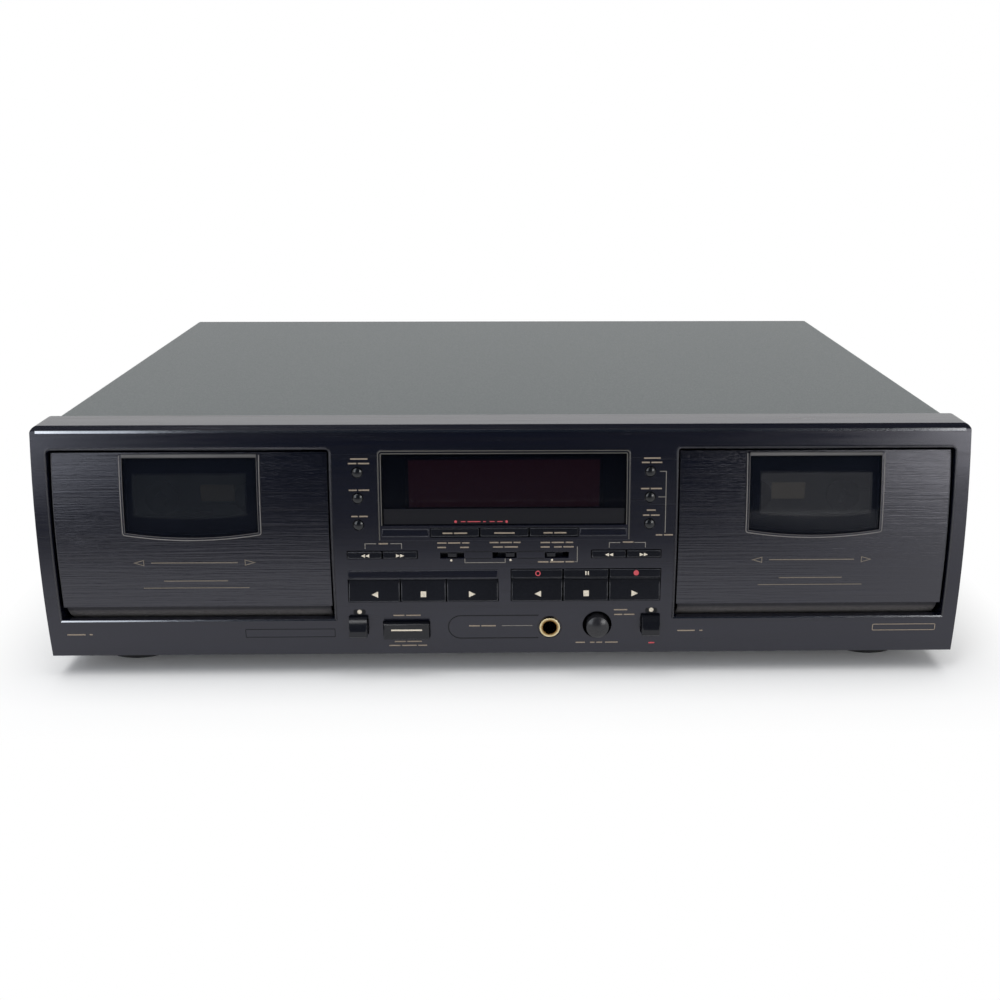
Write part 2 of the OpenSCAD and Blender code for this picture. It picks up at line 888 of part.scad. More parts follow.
module feet() {
  x = body_w / 2 - foot_in;
  color("#17171a") placed() for (s = SIGN, y = [foot_y, body_d - foot_y]) translate([s * x, y, 0]) {
    cylinder(r1 = foot_r - foot_edge, r2 = foot_r, h = foot_edge);
    translate([0, 0, foot_edge]) cylinder(r = foot_r, h = foot_h - foot_edge - seat);
    cylinder(r = foot_boss, h = floor_z);
  }
}

module screw() {
  difference() {
    union() {
      translate([0, 0, -screw_len]) cylinder(r = screw_r, h = screw_len);
      cylinder(r = screw_head_r, h = screw_head);
    }
    for (a = [0, 90]) rotate([0, 0, a]) translate([0, 0, screw_head])
      cube([screw_head_r, screw_r / 2, screw_head], center = true);
  }
}

module screws() {
  color("#3a3a3e") placed() {
    for (s = SIGN, y = screw_rows) translate([s * cover_half, y, screw_z]) rotate([0, s * 90, 0]) screw();
    phono_screws() translate([0, rear_y, 0]) rotate([-90, 0, 0]) screw();
  }
}

// Smoked lens that follows the face, held by flanges at its top and ends
module display_window() {
  w = display_wide - 4 * touch;
  h = display_h - 4 * touch;
  color("#141316") placed() translate([0, 0, display_mid]) {
    intersection() {
      along_y(-far / 2, tunnel_d) square([w, h], center = true);
      translate([0, 0, -display_mid]) difference() {
        behind_face(lens_in);
        behind_face(lens_back);
      }
    }
    intersection() {
      along_y(-far / 2, tunnel_d) translate([-w / 2 - lens_grip, -h / 2])
        square([w + 2 * lens_grip, h + lens_grip]);
      translate([0, 0, -display_mid]) difference() {
        behind_face(panel_wall + touch);
        behind_face(lens_back);
      }
    }
  }
}

module display_tube() {
  color("#3a1414") placed() translate([0, 0, display_mid]) {
    translate([-tube_w / 2, tube_y, -tube_h / 2]) cube([tube_w, tube_t, tube_h]);
    translate([-tube_w / 3, tube_y, -tube_h / 4]) cube([2 * tube_w / 3, board_y - tube_y, tube_h / 2]);
  }
}

module switch_box(x, z, w, h, y) {
  translate([x - w / 2, y, z - h / 2]) cube([w, board_y - y, h]);
}

module control_board() {
  translate([-board_half, board_y, board_low]) cube([2 * board_half, board_t, board_high - board_low]);
  for (s = SIGN) {
    for (z = ROUND) switch_box(s * round_at, z, switch_w, switch_w, switch_y);
    for (k = SIGN) switch_box(s * search_at + k * search_pitch / 2, search_z, switch_w, switch_w, switch_y);
    for (i = [-1 : 1]) switch_box(s * play_at + i * play_pitch, play_z, switch_w, switch_w, switch_y);
    switch_box(s * eject_at, eject_z, switch_w, switch_w, switch_y);
  }
  for (i = [-1 : 1]) {
    switch_box(play_at + i * play_pitch, slim_z, switch_w, slim_h, switch_y);
    switch_box(i * strip_step, strip_z, switch_w, strip_h, switch_y);
    switch_box(i * slide_gap, slide_z, slide_wide + 2 * slide_body, 2 * slide_h, slide_stem + switch_gap);
  }
  switch_box(-power_at, power_z, switch_w, switch_w, switch_y);
}

module main_board() {
  translate([0, main_y, floor_top]) {
    for (s = SIGN, y = [main_edge, main_d - main_edge]) translate([s * (main_w / 2 - main_edge), y, 0])
      cylinder(r = stand_r, h = main_up);
    translate([-main_w / 2, 0, main_up]) cube([main_w, main_d, board_t]);
    translate([row_in - main_w / 2, 0, main_up + board_t]) {
      for (i = [0 : 3]) translate([can_pitch * i, main_d / 5, 0]) cylinder(r = can_r, h = can_h);
      for (i = [0 : 4]) translate([chip_pitch * i, main_d / 2, 0]) cube([chip_w, chip_d, chip_h]);
      for (i = [0 : 8]) translate([small_pitch * i, main_d * 3 / 4, 0]) cylinder(r = small_r, h = small_h);
      translate([main_w - sink_w - 2 * row_in, main_d * 2 / 3, 0]) cube([sink_w, sink_d, sink_h]);
    }
  }
}

module circuit_boards() {
  color("#3f6b46") placed() {
    difference() {
      union() {
        control_board();
        switch_box(knob_at, knob_z, pot_w, pot_w, pot_y);
      }
      translate([knob_at, 0, knob_z]) rod_y(shaft_r + run_fit, pot_y - far, shaft_end + cut);
    }
    main_board();
  }
}

module power_transformer() {
  coil_d = trafo_d + 2 * coil_out;
  color("#9a7a4a") placed() translate([trafo_side - body_w / 2, rear_y - trafo_in, floor_top]) {
    translate([-trafo_w / 2 - trafo_foot, -trafo_d / 2, 0]) cube([trafo_w + 2 * trafo_foot, trafo_d, sheet]);
    translate([-trafo_w / 2, -trafo_d / 2, sheet]) cube([trafo_w, trafo_d, trafo_h]);
    translate([-coil_w / 2, -coil_d / 2, sheet + (trafo_h - coil_h) / 2]) cube([coil_w, coil_d, coil_h]);
  }
}

module rear_sockets() {
  face = rear_y + phono_face;
  wide = phono_block + 2 * phono_ear;
  color("#222226") placed() {
    translate([phono_x, 0, phono_z]) difference() {
      union() {
        along_y(rear_y - phono_deep, face) square(phono_block, center = true);
        along_y(rear_y - phono_deep, rear_y - sheet) square([wide, phono_block], center = true);
        for (i = SIGN, j = SIGN) translate([i * phono_pitch / 2, 0, j * phono_pitch / 2])
          rod_y(phono_r, face - eps, face + phono_len);
      }
      for (i = SIGN, j = SIGN) translate([i * phono_pitch / 2, 0, j * phono_pitch / 2])
        rod_y(contact_r, face, face + far);
      translate([-phono_x, 0, -phono_z]) phono_screws() rod_y(screw_r + run_fit, rear_y - far / 2, rear_y);
    }
    translate([-gland_x, 0, gland_z]) difference() {
      union() {
        rod_y(gland_r + gland_wall, rear_y - gland_len, rear_y + eps);
        rod_y(gland_r + 2 * gland_wall, rear_y, rear_y + gland_flange);
      }
      rod_y(gland_r, rear_y - far, rear_y + far);
    }
  }
}

module headphone_socket() {
  shoulder = deepest_inner(socket_z, barrel_r) + touch;
  color("#c9a24a") placed() translate([socket_at, 0, socket_z]) difference() {
    union() {
      rod_y(ring_r, face_y(socket_z) - ring_out, shoulder + eps);
      rod_y(barrel_r, shoulder, board_y);
    }
    rod_y(socket_r, -far, board_y - socket_wall);
  }
}

// Steel plate with hinge ears, bearings, head guides and the motor bracket
module mechanism_plates() {
  ear_in = wall_x + ear_gap;
  color("#b4b6b8") for (s = [0, 1]) deck(s) difference() {
    union() {
      translate([-plate_w / 2, plate_y, floor_top]) cube([plate_w, sheet, holder_top - floor_top]);
      translate([-plate_w / 2, plate_y, floor_top]) cube([plate_w, sheet + plate_foot, sheet]);
      for (k = SIGN) {
        translate([k * (ear_in + ear_t / 2) - ear_t / 2, hinge_y - ear_reach, hinge_z - ear_reach])
          cube([ear_t, plate_back - hinge_y + ear_reach, 2 * ear_reach]);
        translate([k * capstan_pitch / 2, 0, capstan_z]) rod_y(bush_r, plate_y, plate_back + bush_len);
        translate([k * guide_x, 0, guide_z]) {
          rod_y(guide_r, base_y - base_t, plate_back);
          rod_y(guide_r + guide_head, base_y - base_t, base_y - seat);
        }
      }
      translate([pulley_x, 0, pulley_z]) {
        translate([-bracket_half, bracket_y, -bracket_low])
          cube([2 * bracket_half, sheet, bracket_low + bracket_high]);
        for (p = POSTS) translate([p[0], 0, p[1]]) rod_y(post_r, plate_y, bracket_y + eps);
      }
    }
    for (k = SIGN) {
      translate([k * hub_pitch / 2, 0, hub_z])
        rod_y(spindle_shaft_r + run_fit, plate_y - cut, plate_back + cut);
      translate([k * capstan_pitch / 2, 0, capstan_z]) rod_y(capstan_r + run_fit, 0, plate_back + far / 2);
    }
    translate([0, hinge_y, hinge_z]) rod_x(hinge_r + run_fit, plate_w);
    translate([pulley_x, 0, pulley_z]) rod_y(pulley_r / 2, bracket_y - cut, bracket_y + far);
  }
}

module drive_motors() {
  color("#a5a7aa") for (s = [0, 1]) deck(s) translate([pulley_x, 0, pulley_z]) {
    rod_y(pulley_r, belt_y - pulley_edge, belt_y + belt_w + pulley_edge);
    rod_y(pulley_r / 4, belt_y, bracket_y + sheet + eps);
    rod_y(motor_r, bracket_y + sheet, bracket_y + sheet + motor_len);
  }
}

module belt_loop(grow) {
  hull() {
    translate([-capstan_pitch / 2, capstan_z]) circle(flywheel_r + seat + grow);
    translate([pulley_x, pulley_z]) circle(pulley_r + seat + grow);
  }
}

module drive_belts() {
  color("#1a1a1a") for (s = [0, 1]) deck(s) along_y(belt_y, belt_y + belt_w) difference() {
    belt_loop(belt_t);
    belt_loop(0);
  }
}

module apron() {
  reach = 2 * apron_r;
  along_x(door_w - 2 * apron_side) translate([hinge_y, hinge_z]) intersection() {
    difference() {
      circle(apron_r, $fn = smooth);
      circle(apron_r - apron_t, $fn = smooth);
    }
    polygon([
      [0, 0],
      [-reach * cos(apron_start), -reach * sin(apron_start)],
      [-reach * cos(apron_end), -reach * sin(apron_end)]
    ]);
  }
}

// Door: curved panel, raised trim round the window, apron under the lower edge
module door_panel(s) {
  mid = (door_z + door_top) / 2;
  color("#2a2a30") deck(s) difference() {
    union() {
      intersection() {
        door_layer(door_w, 0, door_wall);
        translate([0, 0, mid]) cube([door_w, 4 * far, door_top - door_z], center = true);
      }
      intersection() {
        door_layer(door_w, -trim_up, door_wall / 2);
        along_y(-far, 2 * far) window_outline(trim_w);
      }
      apron();
    }
    along_y(-far, 2 * far) window_outline(0);
  }
}

module door_window(s) {
  flange = door_wall + touch;
  color("#0d0d10") deck(s) {
    intersection() {
      door_layer(door_w, lens_set, flange + lens_flange);
      along_y(-far, 2 * far) window_outline(-touch);
    }
    intersection() {
      door_layer(door_w, flange, flange + lens_flange);
      along_y(-far, 2 * far) window_outline(lens_grip);
    }
  }
}

module cassette_holder(s) {
  front = pocket_y - holder_lip;
  half = pocket_w / 2;
  wall_low = hinge_z - ear_reach + ear_trim;
  under = pocket_z - holder_floor;
  color("#1f1f22") deck(s) {
    for (k = [0, 1]) mirror([k, 0, 0]) {
      translate([half, pocket_y, wall_low])
        cube([holder_wall, holder_back - pocket_y, holder_top - wall_low]);
      translate([half, front, wall_low]) cube([holder_wall, holder_lip + eps, lip_top - wall_low]);
      translate([half, door_back, rib_low])
        cube([holder_wall, pocket_y - door_back + eps, rib_top - rib_low]);
      translate([half - lip_in, front, under]) cube([lip_in + eps, holder_lip, lip_top - under]);
      translate([half - lip_in, pocket_back, under]) cube([lip_in + eps, holder_lip, holder_top - under]);
      translate([half - floor_in, front, under]) cube([floor_in + eps, holder_back - front, holder_floor]);
      translate([half, hinge_y, hinge_z]) rotate([0, 90, 0])
        cylinder(r = hinge_r, h = holder_wall + ear_gap + ear_t + pin_past);
    }
    translate([-half - eps, door_back, rib_low]) cube([pocket_w + 2 * eps, tie_d, tie_h]);
  }
}

module spindle(s, k) {
  color("#d8d8d4") deck(s) translate([k * hub_pitch / 2, 0, hub_z]) {
    rod_y(spindle_r, tip_y, pocket_back + 2 * disc_gap);
    for (a = [0, 120, 240]) rotate([0, a, 0]) translate([-vane_t / 2, tip_y + vane_in, 0])
      cube([vane_t, reach_in, vane_r]);
    rod_y(spindle_disc_r, pocket_back + disc_gap, plate_y - disc_end);
    rod_y(spindle_shaft_r, pocket_back, plate_back + end_play + collar_t);
    rod_y(2 * spindle_shaft_r, plate_back + end_play, plate_back + end_play + collar_t);
  }
}

module flywheel(s, k) {
  color("#b9a36a") deck(s) translate([k * capstan_pitch / 2, 0, capstan_z]) {
    rod_y(capstan_r, tip_y, flywheel_y + eps);
    rod_y(flywheel_r, flywheel_y, flywheel_y + flywheel_t);
  }
}

module head_base(s) {
  color("#c4c4c0") deck(s) {
    difference() {
      translate([-base_half, base_y, base_top - base_h]) cube([2 * base_half, base_t, base_h]);
      for (k = SIGN) translate([k * guide_x, 0, guide_z]) {
        for (z = [0, -head_lift]) translate([0, 0, z])
          rod_y(guide_r + guide_fit, base_y - cut, base_y + base_t + cut);
        translate([-guide_r - guide_fit, base_y - cut, -head_lift])
          cube([2 * (guide_r + guide_fit), base_t + 2 * cut, head_lift]);
      }
    }
    translate([-head_half, head_y, base_top - base_h / 2])
      cube([2 * head_half, base_y - head_y + eps, head_top - base_top + base_h / 2]);
    for (k = SIGN) translate([k * capstan_pitch / 2, 0, roller_z]) {
      rod_y(roller_r, roller_y, roller_y + roller_len);
      rod_y(roller_r / 4, roller_y, base_y + eps);
    }
  }
}

module round_button(s, i) {
  z = ROUND[i];
  rim_y = deepest_inner(z, round_r + key_rim) + seat;
  color("#1c1c20") placed() translate([SIGN[s] * round_at, 0, z]) {
    dome_y(round_r, face_y(z) - key_up, rim_y + eps);
    rod_y(round_r + key_rim, rim_y, rim_y + rim_t);
    rod_y(round_r / 2, rim_y, stem_end);
  }
}

module slide_switch(i) {
  front = face_y(slide_z) + nub_in;
  rim_y = deepest_inner(slide_z, slide_h) + seat;
  nub_h = slide_h - 2 * key_gap;
  color("#222228") placed() translate([(i - 1) * slide_gap + slide_place[i], 0, slide_z]) {
    translate([0, front, 0]) block(nub_wide, nub_h, rim_y + rim_t - front, key_round / 2, 0);
    translate([-slide_wide / 2, rim_y, -slide_h]) cube([slide_wide, rim_t, 2 * slide_h]);
    translate([-nub_wide / 4, rim_y, -nub_h / 4]) cube([nub_wide / 2, slide_stem - rim_y, nub_h / 2]);
  }
}

module level_knob() {
  color("#19191c") placed() translate([knob_at, 0, knob_z]) {
    dome_y(knob_r, face_y(knob_z) - knob_out, knob_back);
    rod_y(shaft_r, knob_back - cut, shaft_end);
  }
}

module plain_key(x, z, w, h, below, above) {
  color("#1d1d22") placed() key(x, z, w, h, key_up, below, above, h * tan(key_lean));
}

module transport_key(s, i) {
  plain_key(SIGN[s] * play_at + (i - 1) * play_pitch, play_z, play_widths[i], play_h, key_rim, 0);
}

module slim_key(i) {
  plain_key(play_at + (i - 1) * play_pitch, slim_z, play_widths[i], slim_h, 0, key_rim);
}

module strip_key(i) {
  plain_key((i - 1) * strip_step, strip_z, strip_w, strip_h, key_rim, 0);
}

module search_key(s, i) {
  x = SIGN[s] * search_at + SIGN[i] * search_pitch / 2;
  plain_key(x, search_z, search_wide, search_h, key_rim, key_rim);
}

module eject_key(s) {
  front = face_y(eject_z) - eject_out;
  color("#202025") placed() difference() {
    key(SIGN[s] * eject_at, eject_z, eject_wide, eject_h, eject_out, key_rim, key_rim, 0);
    translate([SIGN[s] * eject_at, front, eject_z]) along_x(2 * eject_wide) difference() {
      translate([-eject_bow, -eject_h]) square([2 * eject_bow, 2 * eject_h]);
      translate([eject_bow - key_round / 4, -eject_h / 3]) circle(eject_bow);
      translate([eject_bow, -eject_h]) square([eject_bow, 2 * eject_h]);
    }
  }
}

module power_button() {
  color("#26262b") placed()
    key(-power_at, power_z, power_wide, power_h, power_out, key_rim, key_rim, 0);
}

front_panel();
top_cover();
base_chassis();
rear_panel();
feet();
screws();
display_window();
display_tube();
circuit_boards();
power_transformer();
rear_sockets();
headphone_socket();
mechanism_plates();
drive_motors();
drive_belts();
level_knob();
power_button();
for (s = [0, 1]) {
  door_panel(s);
  door_window(s);
  cassette_holder(s);
  spindle(s, -1);
  spindle(s, 1);
  flywheel(s, -1);
  flywheel(s, 1);
  head_base(s);
  eject_key(s);
  for (i = [0 : 2]) transport_key(s, i);
  for (i = [0, 1]) search_key(s, i);
  for (i = [0 : 2]) round_button(s, i);
}
for (i = [0 : 2]) {
  slim_key(i);
  strip_key(i);
  slide_switch(i);
}
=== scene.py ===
import math

import bpy
from mathutils import Matrix, Vector


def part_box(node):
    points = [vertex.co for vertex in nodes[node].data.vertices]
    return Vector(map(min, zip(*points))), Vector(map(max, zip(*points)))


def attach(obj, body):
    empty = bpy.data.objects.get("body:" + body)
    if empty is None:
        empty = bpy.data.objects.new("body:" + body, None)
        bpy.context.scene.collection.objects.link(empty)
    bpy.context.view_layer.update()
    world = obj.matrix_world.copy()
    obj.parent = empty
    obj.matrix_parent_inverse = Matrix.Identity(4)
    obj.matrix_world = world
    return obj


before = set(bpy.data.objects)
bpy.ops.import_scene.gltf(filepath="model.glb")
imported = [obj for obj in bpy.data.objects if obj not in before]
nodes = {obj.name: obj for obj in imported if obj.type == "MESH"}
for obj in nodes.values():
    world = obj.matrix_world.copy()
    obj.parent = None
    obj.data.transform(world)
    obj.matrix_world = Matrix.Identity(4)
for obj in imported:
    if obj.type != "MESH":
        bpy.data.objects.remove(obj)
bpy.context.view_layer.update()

# Sizes on the deck are in millimetres: across from its middle, back from the panel's face and up
# from the ground. MM makes metres of them. The studio is in metres.
MM = 0.001
FACE_Y = -0.146458
QUARTER = math.pi / 2
WHITE = (1.0, 1.0, 1.0, 1.0)
# The middle of each door, across the front
DECKS = {"left": -140.6, "right": 140.6}


def tone(red, green, blue):
    """A colour as it is picked on screen, 0 to 255, made linear."""
    def linear(value):
        value /= 255
        return value / 12.92 if value <= 0.04045 else ((value + 0.055) / 1.055) ** 2.4
    return (linear(red), linear(green), linear(blue), 1.0)


def times(factor, colour):
    """The colour made darker or lighter."""
    return tuple(factor * c for c in colour[:3]) + (1.0,)


def clear_selection():
    if bpy.context.object and bpy.context.object.mode != "OBJECT":
        bpy.ops.object.mode_set(mode="OBJECT")
    bpy.ops.object.select_all(action="DESELECT")


# Camera, floor, cards and lamps

CAMERA_AT = (0.00005, -0.646224, 0.249794)
CAMERA_TURN = (-0.3155, -0.0016, -0.0197)
CAMERA_LENS = 42.332
CAMERA_SENSOR = 36
CAMERA_SHIFT = -0.0264
CAMERA_NEAR = 0.01
FLOOR_FRONT = -1.4
FLOOR_BACK = 4.0
FLOOR_HALF = 4.0
FLOOR_PALE = (0.955, 0.955, 0.955, 1.0)
FLOOR_DARK = (0.11, 0.11, 0.12, 1.0)
# The floor darkens ahead of the deck, from the fade's start to its end, but stays lit at the right
FLOOR_LIT_FROM = 0.2
FLOOR_LIT_TO = 0.3
FADE_START = -0.16
FADE_END = -0.56
DECK_HALF = (0.205, 0.145, 0.0)
SHADOW_REACH = 0.06
WORLD_LIGHT = 0.38
# The cards' colours, and the heights between which the low one turns into the high one
CARD_LOW = (0.13, 0.14, 0.16, 1)
CARD_HIGH = (0.014, 0.02, 0.034, 1)
CARD_RISE = (0.02, 0.22)
LAMP_AIM = (0, -0.14, 0.08)
COOL_LIGHT = (0.86, 0.92, 1.0)


def set_camera():
    tilt, roll, turned = (Matrix.Rotation(a, 3, axis) for a, axis in zip(CAMERA_TURN, "XYZ"))
    aim = turned @ tilt @ roll @ Matrix.Rotation(QUARTER, 3, "X")
    bpy.ops.object.camera_add(location=CAMERA_AT, rotation=aim.to_euler())
    camera = bpy.context.object
    camera.name = "camera"
    camera.data.lens = CAMERA_LENS
    camera.data.sensor_width = CAMERA_SENSOR
    camera.data.shift_x = CAMERA_SHIFT
    camera.data.clip_start = CAMERA_NEAR
    bpy.context.scene.camera = camera


def fresh_tree(holder):
    holder.use_nodes = True
    holder.node_tree.nodes.clear()
    return holder.node_tree


def stage_node(tree, kind, **values):
    """A node with its sockets set or linked, by name, or by number after an i."""
    node = tree.nodes.new(kind)
    for key, value in values.items():
        number = key[1:]
        socket = node.inputs[int(number) if number.isdigit() else key.replace("_", " ")]
        if isinstance(value, bpy.types.NodeSocket):
            tree.links.new(value, socket)
        else:
            socket.default_value = value
    return node


def stage_math(tree, operation, first, second):
    node = stage_node(tree, "ShaderNodeMath", i0=first, i1=second)
    node.operation = operation
    return node.outputs[0]


def stage_mix(tree, share, first, second):
    """The first shader where the share is 0 and the second where it is 1."""
    return stage_node(tree, "ShaderNodeMixShader", Fac=share,
                      i1=first.outputs[0], i2=second.outputs[0])


def stage_blend(tree, share, first, second):
    """The first colour where the share is 0 and the second where it is 1."""
    node = stage_node(tree, "ShaderNodeMix", i0=share, i6=first, i7=second)
    node.data_type = "RGBA"
    return node.outputs[2]


def set_world():
    """Plain white for what is seen or mirrored, and a softer level for the light it gives."""
    world = bpy.data.worlds.new("studio")
    bpy.context.scene.world = world
    tree = fresh_tree(world)
    path = stage_node(tree, "ShaderNodeLightPath").outputs
    seen = stage_math(tree, "MAXIMUM", path["Is Camera Ray"], path["Is Glossy Ray"])
    shown = stage_math(tree, "MAXIMUM", seen, path["Is Transmission Ray"])
    light = stage_node(tree, "ShaderNodeBackground", Color=WHITE, Strength=WORLD_LIGHT)
    sight = stage_node(tree, "ShaderNodeBackground", Color=WHITE, Strength=1.0)
    both = stage_mix(tree, shown, light, sight)
    stage_node(tree, "ShaderNodeOutputWorld", Surface=both.outputs[0])
    bpy.context.scene.view_settings.view_transform = "Standard"


def stage_sheet(name, paint, location, rotation, size):
    """A flat stage piece: the floor, or a card that only reflections see."""
    clear_selection()
    bpy.ops.mesh.primitive_plane_add(size=1, location=location, rotation=rotation)
    sheet = bpy.context.object
    sheet.name = sheet.data.name = name
    sheet.scale = (size[0], size[1], 1)
    bpy.ops.object.transform_apply(location=True, rotation=True, scale=True)
    sheet.data.materials.append(paint)
    return sheet


def floor_paint():
    """White to the eye, with the shadow close round the deck. What the deck mirrors is pale, and
    darker ahead of it except at the right."""
    paint = bpy.data.materials.new("floor")
    tree = fresh_tree(paint)
    place = stage_node(tree, "ShaderNodeTexCoord").outputs["Object"]
    axes = stage_node(tree, "ShaderNodeSeparateXYZ", Vector=place).outputs
    ahead = stage_node(tree, "ShaderNodeMapRange", Value=axes["Y"],
                       From_Min=FADE_START, From_Max=FADE_END)
    ahead.interpolation_type = "SMOOTHSTEP"
    unlit = stage_node(tree, "ShaderNodeMapRange", Value=axes["X"],
                       From_Min=FLOOR_LIT_TO, From_Max=FLOOR_LIT_FROM)
    shade = stage_math(tree, "MULTIPLY", ahead.outputs[0], unlit.outputs[0])
    colour = stage_blend(tree, shade, FLOOR_PALE, FLOOR_DARK)
    sheet = stage_node(tree, "ShaderNodeBsdfDiffuse", Color=colour)
    off = place
    for operation, other in (("ABSOLUTE", None), ("SUBTRACT", DECK_HALF), ("MAXIMUM", (0, 0, 0))):
        step = stage_node(tree, "ShaderNodeVectorMath", i0=off)
        step.operation = operation
        if other:
            step.inputs[1].default_value = other
        off = step.outputs[0]
    length = stage_node(tree, "ShaderNodeVectorMath", i0=off)
    length.operation = "LENGTH"
    clear = stage_node(tree, "ShaderNodeMapRange", Value=length.outputs["Value"],
                       From_Min=0.0, From_Max=SHADOW_REACH)
    near = stage_node(tree, "ShaderNodeBsdfDiffuse", Color=WHITE)
    glow = stage_node(tree, "ShaderNodeEmission", Color=WHITE, Strength=1.0)
    seen = stage_mix(tree, clear.outputs[0], near, glow)
    camera = stage_node(tree, "ShaderNodeLightPath").outputs["Is Camera Ray"]
    both = stage_mix(tree, camera, sheet, seen)
    stage_node(tree, "ShaderNodeOutputMaterial", Surface=both.outputs[0])
    return paint


def card_paint():
    """Dim glow that falls off upwards."""
    paint = bpy.data.materials.new("shade_card")
    tree = fresh_tree(paint)
    place = stage_node(tree, "ShaderNodeTexCoord").outputs["Object"]
    height = stage_node(tree, "ShaderNodeSeparateXYZ", Vector=place).outputs["Z"]
    low, high = CARD_RISE
    rise = stage_node(tree, "ShaderNodeMapRange", Value=height, From_Min=low, From_Max=high)
    colour = stage_blend(tree, rise.outputs[0], CARD_LOW, CARD_HIGH)
    glow = stage_node(tree, "ShaderNodeEmission", Color=colour, Strength=1.0)
    stage_node(tree, "ShaderNodeOutputMaterial", Surface=glow.outputs[0])
    return paint


def dark_card(name, paint, location, rotation, size):
    card = stage_sheet(name, paint, location, rotation, size)
    card.visible_camera = False
    card.visible_shadow = False
    card.visible_diffuse = False


def soft_lamp(name, location, target, size, glow, colour=(1, 1, 1)):
    """A softbox of an even brightness; its power follows from its size."""
    aim = (Vector(target) - Vector(location)).to_track_quat("-Z", "Y")
    bpy.ops.object.light_add(type="AREA", location=location, rotation=aim.to_euler())
    lamp = bpy.context.object
    lamp.name = lamp.data.name = name
    lamp.data.shape = "RECTANGLE"
    lamp.data.size, lamp.data.size_y = size
    lamp.data.energy = glow * math.pi * size[0] * size[1]
    lamp.data.color = colour


def set_stage():
    middle = (0, (FLOOR_BACK + FLOOR_FRONT) / 2, 0)
    extent = (2 * FLOOR_HALF, FLOOR_BACK - FLOOR_FRONT)
    stage_sheet("floor", floor_paint(), middle, (0, 0, 0), extent)
    shade = card_paint()
    dark_card("front_card", shade, (0, -1.45, 1.05), (QUARTER, 0, 0), (1.5, 2.1))
    dark_card("ceiling_card", shade, (0, -0.7, 2.1), (0, 0, 0), (2.8, 1.9))
    soft_lamp("overhead_softbox", (0.0, -0.25, 2.2), (0, -0.25, 0), (2.2, 1.6), 2.0)
    soft_lamp("right_softbox", (0.89, -1.15, 0.36), LAMP_AIM, (0.64, 0.48), 4.3)
    soft_lamp("left_softbox", (-0.86, -1.15, 0.65), LAMP_AIM, (0.68, 1.3), 1.95, COOL_LIGHT)
    soft_lamp("upper_left_softbox", (-0.42, -0.92, 1.36), LAMP_AIM, (0.4, 0.45), 6.0)


# Finishes

